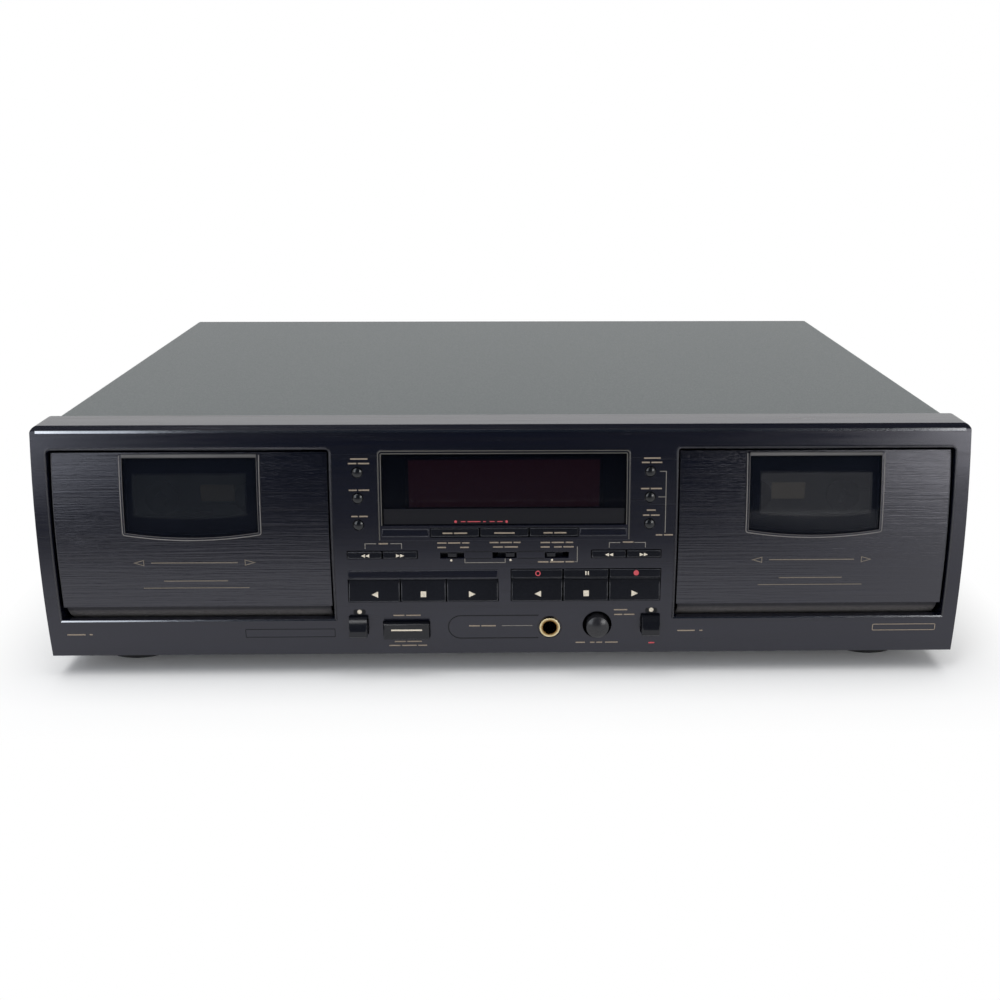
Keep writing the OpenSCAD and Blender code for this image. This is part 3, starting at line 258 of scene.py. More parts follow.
class Finish:
    """A procedural finish on the piece's own coordinates, in metres."""

    def __init__(self, name, colour, rough, metal=0.0, level=0.5):
        self.paint = bpy.data.materials.new(name)
        self.paint.use_nodes = True
        self.tree = self.paint.node_tree
        self.shader = self.tree.nodes["Principled BSDF"]
        self.set("Base Color", colour)
        self.set("Roughness", rough)
        self.set("Metallic", metal)
        self.set("Specular IOR Level", level)
        self.where = self.tree.nodes.new("ShaderNodeTexCoord").outputs["Object"]
        self.axes = None

    def set(self, socket, value):
        self.shader.inputs[socket].default_value = value

    def join(self, output, socket):
        self.tree.links.new(output, self.shader.inputs[socket])

    def grain(self, scale, detail=4.0, rough=0.55):
        """Noise with its own scale along X, Y and Z, in cycles a metre."""
        mapping = self.tree.nodes.new("ShaderNodeMapping")
        mapping.inputs["Scale"].default_value = scale
        self.tree.links.new(self.where, mapping.inputs["Vector"])
        noise = self.tree.nodes.new("ShaderNodeTexNoise")
        noise.inputs["Scale"].default_value = 1.0
        noise.inputs["Detail"].default_value = detail
        noise.inputs["Roughness"].default_value = rough
        self.tree.links.new(mapping.outputs["Vector"], noise.inputs["Vector"])
        return noise.outputs["Fac"]

    def span(self, value, low, high, start=0.3, end=0.7):
        """The value's run from start to end, made a run from low to high."""
        ranged = self.tree.nodes.new("ShaderNodeMapRange")
        ends = {"From Min": start, "From Max": end, "To Min": low, "To Max": high}
        for socket, number in ends.items():
            ranged.inputs[socket].default_value = number
        self.tree.links.new(value, ranged.inputs["Value"])
        return ranged.outputs["Result"]

    def axis(self, name):
        if self.axes is None:
            self.axes = self.tree.nodes.new("ShaderNodeSeparateXYZ")
            self.tree.links.new(self.where, self.axes.inputs["Vector"])
        return self.axes.outputs[name]

    def math(self, operation, a, b=0.0):
        node = self.tree.nodes.new("ShaderNodeMath")
        node.operation = operation
        for socket, value in zip(node.inputs, (a, b)):
            if isinstance(value, (int, float)):
                socket.default_value = value
            else:
                self.tree.links.new(value, socket)
        return node.outputs[0]

    def both(self, a, b):
        return self.math("MULTIPLY", a, b)

    def over(self, name, place):
        """1 beyond a place along an axis and 0 before it."""
        return self.math("GREATER_THAN", self.axis(name), place * MM)

    def under(self, name, place):
        """1 before a place along an axis and 0 beyond it."""
        return self.math("LESS_THAN", self.axis(name), place * MM)

    def within(self, name, low, high):
        return self.both(self.over(name, low), self.under(name, high))

    def ahead(self, depth):
        """1 before a depth behind the panel's face and 0 beyond it."""
        return self.math("LESS_THAN", self.axis("Y"), FACE_Y + depth * MM)

    def mix(self, mask, first, second):
        """The first colour where the mask is 0 and the second where it is 1."""
        node = self.tree.nodes.new("ShaderNodeMix")
        node.data_type = "RGBA"
        self.tree.links.new(mask, node.inputs["Factor"])
        for socket, value in ((node.inputs[6], first), (node.inputs[7], second)):
            if isinstance(value, tuple):
                socket.default_value = value
            else:
                self.tree.links.new(value, socket)
        return node.outputs[2]

    def blotch(self, grain, first, second):
        """Two colours that run into each other along a grain."""
        return self.mix(self.span(grain, 0, 1), first, second)

    def relief(self, height, depth, strength, edge=0.0):
        """Bump of a depth in millimetres, over edges rounded by the edge radius."""
        bump = self.tree.nodes.new("ShaderNodeBump")
        bump.inputs["Strength"].default_value = strength
        bump.inputs["Distance"].default_value = depth * MM
        self.tree.links.new(height, bump.inputs["Height"])
        if edge:
            bevel = self.tree.nodes.new("ShaderNodeBevel")
            bevel.samples = 6
            bevel.inputs["Radius"].default_value = edge * MM
            self.tree.links.new(bevel.outputs["Normal"], bump.inputs["Normal"])
        self.join(bump.outputs["Normal"], "Normal")

    def coat(self, tint, grain, gloss, depth, strength, edge=0.0):
        """Puts on the colour, and a roughness and a relief that follow a grain."""
        self.join(tint, "Base Color")
        self.join(self.span(grain, *gloss), "Roughness")
        self.relief(grain, depth, strength, edge)
        return self


def moulded(name, colour, rough, grit=3200, depth=0.012, edge=0.25, level=0.5):
    """Moulded plastic: spark-eroded grain, slight blotches and softened edges."""
    skin = Finish(name, colour, rough, level=level)
    fine = skin.grain((grit, grit, grit), 3.0)
    broad = skin.grain((30, 30, 30), 2.0)
    tint = skin.blotch(broad, times(0.8, colour), times(1.2, colour))
    return skin.coat(tint, fine, (rough - 0.06, rough + 0.08), depth, 0.6, edge)


NAVY_BLACK = (0.0026, 0.0033, 0.0078, 1.0)
DOOR_BLACK = (0.0025, 0.0031, 0.0066, 1.0)
COOL_SHEEN = (0.92, 0.91, 1.0, 1.0)
SATIN_EDGE = 0.3
# The flocked apron under each door: its top, and how far below it a painted shade under the door's
# edge turns into flock painted paler against the apron's own shade
APRON_TOP = 35.45
FLOCK_SHADE_TURN = (1.8, 5.4)
FLOCK_PAINTED_SHADE = tone(34, 33, 36)
FLOCK_GREY = tone(92, 89, 89)
FLOCK_PAINTED_LIGHT = tone(158, 153, 151)


def hairline(name, colour, rough, depth, level, apron_top=0.0):
    """Satin plastic with hairlines along the front, and flocked below the apron's top, with painted
    shade under the door's edge and painted light lower down the apron.
    """
    skin = Finish(name, colour, rough, level=level)
    fine = skin.grain((24, 1000, 1000), 5.0, 0.65)
    streak = skin.grain((12, 400, 400), 4.0, 0.7)
    lines = skin.math("ADD", skin.both(fine, 0.5), skin.both(streak, 0.5))
    tint = skin.blotch(lines, times(0.6, colour), times(1.4, colour))
    gloss = skin.span(lines, rough + 0.08, rough - 0.06)
    height = skin.math("ADD", fine, skin.both(streak, 0.8))
    if apron_top:
        flock = skin.grain((900, 1300, 1300), 6.0, 0.75)
        apron = skin.under("Z", apron_top)
        # Painted shade: the flock is dark just under the door's edge, as in its shadow, and painted
        # paler further down to make up for the shade there
        dark_to, pale_from = ((apron_top - drop) * MM for drop in FLOCK_SHADE_TURN)
        painted_light_pile = skin.blotch(flock, FLOCK_GREY, FLOCK_PAINTED_LIGHT)
        shade_under_door_edge = skin.span(skin.axis("Z"), 0, 1, dark_to, pale_from)
        tint = skin.mix(apron, tint, skin.mix(shade_under_door_edge, FLOCK_PAINTED_SHADE, painted_light_pile))
        gloss = skin.math("MAXIMUM", gloss, skin.both(apron, 0.95))
        height = skin.math("ADD", height, skin.both(apron, skin.both(flock, 4.0)))
    skin.join(tint, "Base Color")
    skin.join(gloss, "Roughness")
    skin.relief(height, depth, 0.8, SATIN_EDGE)
    skin.set("Specular Tint", COOL_SHEEN)
    return skin


def sheet_metal(name, colour, rough, scale=(60, 60, 60)):
    """Plated sheet or turned metal with a faint rolled direction."""
    skin = Finish(name, colour, rough, metal=1.0)
    spangle = skin.grain(scale, 4.0)
    scratch = skin.grain((20, 900, 900), 2.0)
    tint = skin.blotch(spangle, times(0.78, colour), colour)
    return skin.coat(tint, scratch, (rough - 0.08, rough + 0.1), 0.006, 0.4, 0.15)


panel_skin = hairline("panel_satin", NAVY_BLACK, 0.22, 0.02, 0.7)
door_skin = hairline("door_hairline", DOOR_BLACK, 0.14, 0.2, 0.9, apron_top=APRON_TOP)
key_skin = moulded("key_satin", (0.0056, 0.0062, 0.0092, 1.0), 0.2, level=0.42)
button_skin = moulded("button_gloss", (0.006, 0.007, 0.009, 1.0), 0.1, depth=0.003, edge=0.4)
knob_skin = moulded("knob_satin", (0.017, 0.017, 0.020, 1.0), 0.24, edge=0.2)
# Painted highlight: the lip beads are the panel's plastic, made lighter for the light caught on the
# opening's rounded lip
lip_highlight_skin = moulded("lip_painted_highlight", tone(40, 40, 44), 0.3, edge=0.0, level=0.6)
polish_skin = moulded("edge_polish", tone(160, 161, 164), 0.13, depth=0.002, edge=0.0, level=0.6)
polish_skin.set("Metallic", 1.0)
# Painted highlight: lighter beads for the light caught on the rounded edges of the keys, the blanks
# and the doors
edge_highlight_skin = moulded("key_edge", tone(52, 53, 58), 0.24, depth=0.003, edge=0.0, level=0.7)
# Painted highlight: the frame beads are the panel's plastic, made lighter for the light caught on
# the frame's edges
frame_highlight_skin = moulded("frame_painted_highlight", tone(76, 74, 69), 0.35, edge=0.0)
# Painted highlight: the trim beads are the door's plastic, made lighter for the light caught on the
# trim's chamfer, the outer edge more than the inner
trim_highlight_skin = moulded("trim_painted_highlight", tone(112, 109, 107), 0.32, edge=0.0)
trim_inner_highlight_skin = moulded("trim_inner", tone(72, 70, 70), 0.32, edge=0.0)
rail_skin = moulded("rail_frosted", tone(88, 87, 87), 0.5, edge=0.0)
holder_skin = moulded("holder_matt", tone(30, 30, 33), 0.5)
foot_skin = moulded("foot_rubber", tone(22, 22, 24), 0.6, grit=1500, depth=0.03)
spindle_skin = moulded("spindle_nylon", tone(70, 70, 72), 0.4)
belt_skin = moulded("belt_rubber", tone(24, 24, 24), 0.65, grit=1800)
chassis_skin = sheet_metal("zinc_sheet", tone(176, 180, 184), 0.36)
plate_skin = sheet_metal("plated_mechanism", tone(150, 153, 156), 0.34)
screw_skin = sheet_metal("black_screw", tone(60, 60, 64), 0.4, (400, 400, 400))
flywheel_skin = sheet_metal("turned_brass", tone(196, 164, 100), 0.28, (200, 200, 200))


def cover_finish():
    """Powder paint: fine grain, faint streaks and a soft sheen."""
    skin = Finish("cover_paint", tone(59, 67, 68), 0.42)
    speck = skin.grain((1700, 1700, 1700), 3.0)
    streak = skin.grain((5, 1.5, 5), 3.0)
    base = skin.blotch(streak, tone(53, 61, 63), tone(63, 70, 70))
    tint = skin.blotch(speck, base, tone(67, 75, 76))
    return skin.coat(tint, speck, (0.36, 0.5), 0.03, 0.5, 0.3)


def rear_finish():
    """Painted rear panel with a coarser grain than the cover."""
    skin = Finish("rear_paint", tone(46, 47, 50), 0.5)
    speck = skin.grain((1400, 1400, 1400), 3.0)
    tint = skin.blotch(speck, tone(40, 41, 44), tone(56, 57, 60))
    return skin.coat(tint, speck, (0.42, 0.6), 0.03, 0.5, 0.2)


LENS_ALPHA = 0.6
RIPPLE_LIFT = 1.3
# The clear part of a door lens: half its width, its foot and top, and the sag of its foot
CLEAR_HALF, CLEAR_LOW, CLEAR_HIGH, CLEAR_SAG = 25.2, 78.5, 97.0, 1.4
CLEAR_MIDDLE = {"left": DECKS["left"] - 0.8, "right": DECKS["right"] + 0.8}
# Painted light in the clear part of each door lens, standing in for the dimly lit inside seen
# through it, lighter on the right
LENS_INSIDE_LIGHT = (
    (CLEAR_MIDDLE["left"], (0.014, 0.016, 0.020, 1)),
    (CLEAR_MIDDLE["right"], (0.030, 0.031, 0.035, 1)),
)


def lens_finish(name, colour, rough, level, lit_insides=()):
    """Smoked acrylic with the faintest ripple, and painted light within the clear parts given,
    standing in for the lit inside seen through them.
    """
    skin = Finish(name, colour, rough, level=level)
    ripple = skin.grain((40, 40, 40), 2.0)
    smoke = skin.mix(ripple, colour, times(RIPPLE_LIFT, colour))
    for x, inside_light in lit_insides:
        off = skin.math("SUBTRACT", skin.axis("X"), x * MM)
        across = skin.math("DIVIDE", off, CLEAR_HALF * MM)
        bow = skin.both(skin.both(across, across), CLEAR_SAG * MM)
        height = skin.math("SUBTRACT", skin.axis("Z"), bow)
        above = skin.math("GREATER_THAN", height, (CLEAR_LOW - CLEAR_SAG) * MM)
        between = skin.within("X", x - CLEAR_HALF, x + CLEAR_HALF)
        clear = skin.both(above, skin.both(between, skin.under("Z", CLEAR_HIGH)))
        smoke = skin.mix(clear, smoke, skin.mix(ripple, inside_light, times(RIPPLE_LIFT, inside_light)))
    skin.set("Alpha", LENS_ALPHA)
    return skin.coat(smoke, ripple, (rough, rough + 0.02), 0.02, 0.05)


def tube_finish():
    """Display tube: black glass with a dark red filter over the dot area, and a faint painted glow
    over that filter.
    """
    area_half, area_low, area_high = 43.5, 79.6, 102.0
    glass = tone(8, 9, 13)
    skin = Finish("display_tube", glass, 0.2)
    across = skin.within("X", -area_half, area_half)
    area = skin.both(across, skin.within("Z", area_low, area_high))
    mesh = skin.grain((900, 900, 900), 2.0)
    red = skin.blotch(mesh, tone(46, 14, 20), tone(66, 18, 26))
    skin.join(skin.mix(area, glass, red), "Base Color")
    # Painted light: the filter area glows faintly though the tube shows no lit segments
    skin.join(skin.mix(area, (0, 0, 0, 1), (0.030, 0.006, 0.010, 1)), "Emission Color")
    skin.set("Emission Strength", 1.0)
    skin.join(skin.span(mesh, 0.19, 0.23), "Roughness")
    return skin


def board_finish():
    """Circuit boards: lacquered board with traces, and dark parts and switches standing on it."""
    parts_foot, parts_front, switches = 27.0, -90.0, (-150, -124.4)
    skin = Finish("boards", tone(42, 92, 60), 0.4)
    trace = skin.grain((260, 260, 260), 1.0)
    board = skin.mix(skin.span(trace, 0, 1, 0.48, 0.52), tone(36, 84, 54), tone(58, 112, 74))
    standing = skin.both(skin.over("Z", parts_foot), skin.over("Y", parts_front))
    parts = skin.math("MAXIMUM", standing, skin.within("Y", *switches))
    tint = skin.mix(parts, board, tone(34, 34, 38))
    return skin.coat(tint, trace, (0.3, 0.45), 0.02, 0.5)


def transformer_finish():
    """Stacked iron sheets, with the taped winding before and behind them."""
    core_front, core_back = 46.0, 92.5
    skin = Finish("transformer", tone(92, 90, 88), 0.5, metal=0.4)
    sheets = skin.grain((3, 3, 1400), 1.0)
    iron = skin.blotch(sheets, tone(66, 64, 62), tone(116, 114, 112))
    core = skin.within("Y", core_front, core_back)
    tint = skin.mix(core, tone(196, 158, 84), iron)
    return skin.coat(tint, sheets, (0.4, 0.6), 0.05, 0.6)


def socket_finish():
    """Rear sockets: black block and gland, nickel shells."""
    shells_from = 142.9
    skin = Finish("rear_sockets", tone(26, 26, 28), 0.42)
    grain = skin.grain((2600, 2600, 2600), 3.0)
    shell = skin.both(skin.over("Y", shells_from), skin.over("X", 0.0))
    plastic = skin.blotch(grain, tone(20, 20, 22), tone(34, 34, 36))
    tint = skin.mix(shell, plastic, tone(196, 192, 184))
    skin.join(shell, "Metallic")
    return skin.coat(tint, grain, (0.3, 0.48), 0.012, 0.5, 0.2)


def headphone_finish():
    """Gold-plated ring on a black barrel, with painted shade darkening it down its funnel and a
    painted highlight making its rim paler.
    """
    ring_depth, funnel, ring = 8, 3.5, 4.5
    skin = Finish("gold_plate", tone(216, 186, 120), 0.14, metal=1.0)
    turning = skin.grain((900, 60, 900), 2.0)
    front = skin.ahead(ring_depth)
    corner_a, corner_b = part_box("headphone_socket")
    across = skin.math("SUBTRACT", skin.axis("X"), (corner_a[0] + corner_b[0]) / 2)
    upward = skin.math("SUBTRACT", skin.axis("Z"), (corner_a[2] + corner_b[2]) / 2)
    spread = skin.math("ADD", skin.both(across, across), skin.both(upward, upward))
    # Painted shade down the funnel, brown, turning into a painted highlight, pale, at the rim
    rim = skin.span(skin.math("SQRT", spread), 0, 1, funnel * MM, ring * MM)
    pale = skin.blotch(turning, tone(226, 204, 152), tone(248, 234, 196))
    gold = skin.mix(rim, tone(122, 90, 46), pale)
    tint = skin.mix(front, tone(30, 28, 26), gold)
    skin.join(front, "Metallic")
    return skin.coat(tint, turning, (0.14, 0.3), 0.004, 0.4, 0.25)


def motor_finish():
    """Steel motor cans with brass pulleys on their front ends."""
    pulley_depth = 50
    skin = Finish("motor_can", tone(158, 160, 164), 0.34, metal=1.0)
    brushed = skin.grain((500, 20, 500), 3.0)
    steel = skin.blotch(brushed, tone(138, 140, 144), tone(172, 174, 178))
    tint = skin.mix(skin.ahead(pulley_depth), steel, tone(190, 158, 96))
    return skin.coat(tint, brushed, (0.26, 0.42), 0.01, 0.4, 0.2)


def head_finish():
    """Head bases: plated plate, bright head in the middle, rubber rollers at the ends."""
    plate_depth, head_half = 31.2, 15
    skin = Finish("head_base", tone(172, 174, 176), 0.3, metal=1.0)
    brushed = skin.grain((30, 800, 800), 3.0)
    steel = skin.blotch(brushed, tone(150, 152, 154), tone(188, 190, 192))
    from_middle = skin.math("ABSOLUTE", skin.axis("X"))
    off = skin.math("SUBTRACT", from_middle, DECKS["right"] * MM)
    away = skin.math("GREATER_THAN", skin.math("ABSOLUTE", off), head_half * MM)
    rubber = skin.both(skin.ahead(plate_depth), away)
    tint = skin.mix(rubber, steel, tone(28, 28, 28))
    skin.join(skin.math("SUBTRACT", 1.0, rubber), "Metallic")
    return skin.coat(tint, brushed, (0.24, 0.4), 0.008, 0.4, 0.2)


def lamp_finish():
    """Lamp diffusers whose glow is painted light, the right one glowing more than the left."""
    skin = moulded("lamp_diffuser", tone(150, 132, 104), 0.45, edge=0.2)
    # Painted light: the glow stands in for the lit patch seen through each window, stronger on the
    # right
    glow = skin.mix(skin.over("X", 0.0), (0.02, 0.018, 0.014, 1), (0.085, 0.076, 0.058, 1))
    skin.join(glow, "Emission Color")
    skin.set("Emission Strength", 1.0)
    return skin


def print_finish(name, colour, rough=0.5, cover=0.75):
    """Screen-printed ink with a slightly uneven deposit."""
    ink = Finish(name, colour, rough, level=0.3)
    deposit = ink.grain((1500, 1500, 1500), 3.0)
    ink.join(ink.blotch(deposit, times(cover, colour), colour), "Base Color")
    uneven = 1 - cover
    ink.join(ink.span(deposit, rough - 0.4 * uneven, rough + 0.6 * uneven), "Roughness")
    return ink


TAN_INK = print_finish("tan_ink", tone(150, 137, 121))
CREAM_INK = print_finish("cream_ink", tone(226, 216, 198))
GREY_INK = print_finish("grey_ink", tone(132, 128, 121))
RED_INK = print_finish("red_ink", tone(206, 84, 92))
BLACK_INK = print_finish("black_ink", tone(12, 13, 18), cover=0.95)
DOOR_INK = print_finish("door_ink", tone(116, 108, 98))
BAND_INK = print_finish("band_ink", tone(26, 26, 30), 0.3, 0.985)

FINISH_OF = {
    "front_panel": panel_skin,
    "top_cover": cover_finish(),
    "base_chassis": chassis_skin,
    "rear_panel": rear_finish(),
    "feet": foot_skin,
    "screws": screw_skin,
    "display_window": lens_finish("display_lens", (0.002, 0.0026, 0.005, 1), 0.03, 0.25),
    "display_tube": tube_finish(),
    "circuit_boards": board_finish(),
    "power_transformer": transformer_finish(),
    "rear_sockets": socket_finish(),
    "headphone_socket": headphone_finish(),
    "mechanism_plates": plate_skin,
    "drive_motors": motor_finish(),
    "drive_belts": belt_skin,
    "level_knob": knob_skin,
}
FINISH_BY_WORD = {
    "door_panel": door_skin,
    "door_window": lens_finish("door_lens", (0.0052, 0.0066, 0.0112, 1), 0.05, 0.2, LENS_INSIDE_LIGHT),
    "cassette_holder": holder_skin,
    "spindle": spindle_skin,
    "flywheel": flywheel_skin,
    "head_base": head_finish(),
    "round_button": button_skin,
    "key": key_skin,
    "power_button": key_skin,
    "slide_switch": key_skin,
}


def dress_nodes():
    for name, node in nodes.items():
        skin = FINISH_OF.get(name)
        if skin is None:
            skin = next(s for word, s in FINISH_BY_WORD.items() if word in name)
        node.data.materials.clear()
        node.data.materials.append(skin.paint)


# Tools for the added pieces

# Prints and lines are drawn flat before the deck, then laid onto what carries them.
DRAWN_Y = FACE_Y - 0.03
PRINT_LIFT = 0.02
PRINT_THICK = 0.05
PRINT_OVER = 2 * PRINT_LIFT + PRINT_THICK
LINE_STEP = 4.0
CORNER_PARTS = 5


def start_piece(name):
    """An empty piece at the origin, open in edit mode."""
    clear_selection()
    bpy.ops.mesh.primitive_plane_add(size=MM, location=(0, 0, 0))
    piece = bpy.context.object
    piece.name = piece.data.name = name
    bpy.ops.object.mode_set(mode="EDIT")
    bpy.ops.mesh.delete(type="VERT")
    return piece


def start_block(name, at, size):
    """A block about a place, its depth counted from the panel's face, open in edit mode."""
    clear_selection()
    place = Vector(at) * MM + Vector((0, FACE_Y, 0))
    bpy.ops.mesh.primitive_cube_add(size=MM, location=place)
    piece = bpy.context.object
    piece.name = piece.data.name = name
    bpy.ops.object.mode_set(mode="EDIT")
    bpy.ops.transform.resize(value=size)
    return piece


def end_block():
    bpy.ops.object.mode_set(mode="OBJECT")
    bpy.ops.object.transform_apply(location=True, rotation=True, scale=True)


def keep_piece(piece, body, skin):
    piece.data.materials.append(skin.paint)
    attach(piece, body)


def apply_all(piece):
    for modifier in list(piece.modifiers):
        bpy.ops.object.modifier_apply(modifier=modifier.name)


def wrap_onto(piece, target, lift=0.0, from_behind=False):
    """Carries each point straight back onto a node, or straight ahead from behind it."""
    bpy.ops.object.mode_set(mode="OBJECT")
    wrap = piece.modifiers.new("lay", "SHRINKWRAP")
    wrap.wrap_method = "PROJECT"
    wrap.wrap_mode = "ON_SURFACE"
    wrap.use_project_y = True
    wrap.use_positive_direction = not from_behind
    wrap.use_negative_direction = from_behind
    wrap.target = nodes[target]
    wrap.offset = lift * MM


def coat_piece(piece, thick):
    coat = piece.modifiers.new("coat", "SOLIDIFY")
    coat.thickness = thick * MM
    coat.offset = 1.0
    apply_all(piece)


def lay_print(piece, target, body, ink, lift=PRINT_LIFT):
    """Lays a flat print onto a node and gives it the thickness of ink."""
    wrap_onto(piece, target, lift)
    coat_piece(piece, PRINT_THICK)
    keep_piece(piece, body, ink)


def lay_on_panel(piece, ink, lift=PRINT_LIFT):
    lay_print(piece, "front_panel", "case", ink, lift)


def lay_on_key(piece, key, ink):
    lay_print(piece, key, key, ink)


def lay_bead(piece, target, body, skin, slot, radius):
    """Lays a drawn line onto a node and makes a round bead of it, half sunk."""
    wrap_onto(piece, target)
    apply_all(piece)
    name = piece.name
    bpy.ops.object.convert(target="CURVE")
    piece.data.bevel_depth = radius * MM
    piece.data.bevel_resolution = 3
    piece.data.use_fill_caps = True
    bpy.ops.object.convert(target="MESH")
    piece.data.name = name
    bpy.ops.object.mode_set(mode="EDIT")
    bpy.ops.mesh.select_all(action="SELECT")
    bpy.ops.mesh.normals_make_consistent(inside=False)
    bpy.ops.object.mode_set(mode="OBJECT")
    bpy.ops.object.shade_smooth()
    keep_piece(piece, body, skin)


def size_to(x, z, wide, high):
    """Scales the form just drawn about its middle."""
    middle = (x * MM, DRAWN_Y, z * MM)
    bpy.ops.transform.resize(value=(wide, 1, high), center_override=middle)


def bar(x, z, wide, high, cuts=0, corner=0.0):
    """A filled bar about x, z; long upright ones are cut so that they follow the bow."""
    bpy.ops.mesh.primitive_plane_add(size=MM, location=(x * MM, DRAWN_Y, z * MM),
                                     rotation=(QUARTER, 0, 0))
    size_to(x, z, wide, high)
    if corner:
        bpy.ops.mesh.bevel(offset=corner * MM, segments=6, affect="VERTICES")
    if cuts:
        bpy.ops.mesh.subdivide(number_cuts=cuts)


def span_bar(x_from, x_to, z, high):
    bar((x_from + x_to) / 2, z, x_to - x_from, high)


def disc(x, z, radius, corners=28):
    bpy.ops.mesh.primitive_circle_add(vertices=corners, radius=radius * MM, fill_type="NGON",
                                      location=(x * MM, DRAWN_Y, z * MM),
                                      rotation=(QUARTER, 0, 0))


def arrow(x, z, wide, high, way):
    """A triangle pointing to +X or -X, its box about x, z."""
    # A three-cornered circle is 1.5 radii wide and the root of 3 high, its centre a sixth off.
    centre = x - way * wide / 6
    bpy.ops.mesh.primitive_circle_add(vertices=3, radius=MM, fill_type="NGON",
                                      location=(centre * MM, DRAWN_Y, z * MM),
                                      rotation=(QUARTER, way * QUARTER, 0))
    size_to(centre, z, wide / 1.5, high / math.sqrt(3))


def hollow(line):
    """Leaves only an outline of the form just drawn."""
    bpy.ops.mesh.inset(thickness=line * MM)
    bpy.ops.mesh.delete(type="FACE")


def caption(x_from, x_to, z, words):
    """Short plain dashes of uneven length."""
    share = (3, 4, 2.4, 3.4)[:words]
    gap, high = 0.7, 0.62
    unit = (x_to - x_from - gap * (words - 1)) / sum(share)
    x = x_from
    for part in share:
        span_bar(x, x + part * unit, z, high)
        x += part * unit + gap


def draw_line(points):
    """Draws through the points, with long runs cut so that they follow what carries them."""
    x, z = points[0]
    bpy.ops.mesh.primitive_plane_add(size=MM, location=(x * MM, DRAWN_Y, z * MM))
    bpy.ops.mesh.merge(type="CENTER")
    for (x, z), (next_x, next_z) in zip(points, points[1:]):
        steps = max(1, round(math.hypot(next_x - x, next_z - z) / LINE_STEP))
        move = ((next_x - x) / steps * MM, 0, (next_z - z) / steps * MM)
        for _ in range(steps):
            bpy.ops.mesh.extrude_region_move(TRANSFORM_OT_translate={"value": move})


def turn(x, z, radius, start, end):
    """Points of a rounded corner about x, z, from one angle to another in degrees."""
    parts = [start + (end - start) * i / CORNER_PARTS for i in range(CORNER_PARTS + 1)]
    angles = [math.radians(part) for part in parts]
    return [(x + radius * math.cos(a), z + radius * math.sin(a)) for a in angles]


def draw_arch(left, right, low, high, corner):
    """Up the left side, over two rounded corners and down the right side."""
    draw_line([(left, low)] + turn(left + corner, high - corner, corner, 180, 90)
              + turn(right - corner, high - corner, corner, 90, 0) + [(right, low)])


# Prints on the panel, the doors, the keys and the display

def panel_captions():
    piece = start_piece("panel_captions")
    for x_from, x_to, z, words in [
        # beside the round buttons, left and right of the display
        (-68.6, -60.9, 104.4, 1), (-69.7, -60.2, 102.4, 2), (-69.6, -60.4, 90.5, 2),
        (-68.8, -61.4, 78.6, 2), (62.7, 70.2, 104.3, 1), (61.7, 70.9, 102.4, 2),
        (61.5, 70.9, 90.7, 2), (64.3, 68.3, 80.9, 1), (62.6, 70.1, 78.6, 2), (68.6, 76.4, 69.4, 2),
        # round the slide switches
        (-30.4, -15.9, 66.1, 3), (-30.4, -26.5, 64.0, 1), (-20.1, -16.1, 64.0, 1),
        (-6.7, 7.3, 66.2, 3), (-5.2, 6.1, 64.1, 2), (16.4, 31.1, 66.1, 3), (16.4, 20.5, 64.0, 1),
        (22.5, 31.4, 64.0, 2), (15.2, 31.6, 56.9, 3),
        # by the headphone socket, the power button, the level knob and the search keys
        (-16.6, -4.2, 25.3, 2), (-51.3, -38.8, 30.9, 2), (-51.2, -38.7, 17.4, 2),
        (-53.8, -36.3, 15.3, 3), (50.4, 56.6, 33.1, 1), (50.6, 60.0, 30.7, 2),
        (33.0, 37.3, 16.3, 1), (39.7, 45.4, 16.3, 2), (46.7, 52.7, 16.3, 1),
        (-56.9, -52.7, 65.9, 1), (53.7, 58.5, 66.1, 1),
        # under the doors
        (-201.8, -193.4, 22.0, 1), (-191.6, -190.2, 22.0, 1), (80.3, 88.4, 22.2, 1),
        (90.6, 92.0, 22.2, 1),
    ]:
        caption(x_from, x_to, z, words)
    lay_on_panel(piece, TAN_INK)


def panel_lines():
    """Brackets and pointers printed between the controls."""
    line = 0.32
    piece = start_piece("panel_lines")
    for x_from, x_to in ((-63.2, -46.4), (47.4, 64.2)):
        middle = (x_from + x_to) / 2
        span_bar(x_from, middle - 3.2, 65.9, line)
        span_bar(middle + 3.2, x_to, 65.9, line)
        for x in (x_from + line / 2, x_to - line / 2):
            bar(x, 64.7, line, 2.4)
    bar(72.8, 84.4, line, 28.0, cuts=9)
    span_bar(69.9, 73.0, 98.4, line)
    span_bar(69.4, 73.0, 86.9, line)
    span_bar(-18.2, 0.5, 56.7, line)
    for x in (-18.0, 0.3):
        bar(x, 57.6, line, 2.0)
    bar(33.1, 60.4, line, 7.4, cuts=3)
    span_bar(31.9, 33.3, 56.9, line)
    span_bar(-1.4, 12.8, 25.3, line)
    lay_on_panel(piece, GREY_INK)


EJECT_DOTS = (-66.8, 67.7)


def panel_dots():
    """A dot over each eject key, and a small one under each slide switch."""
    eject_dot, slide_dot = 1.05, 0.5
    piece = start_piece("panel_dots")
    for x, z in zip(EJECT_DOTS, (32.8, 33.0)):
        disc(x, z, eject_dot)
    for x, z in ((-24.2, 57.9), (2.7, 57.9), (21.6, 57.8)):
        disc(x, z, slide_dot)
    lay_on_panel(piece, CREAM_INK, PRINT_OVER)


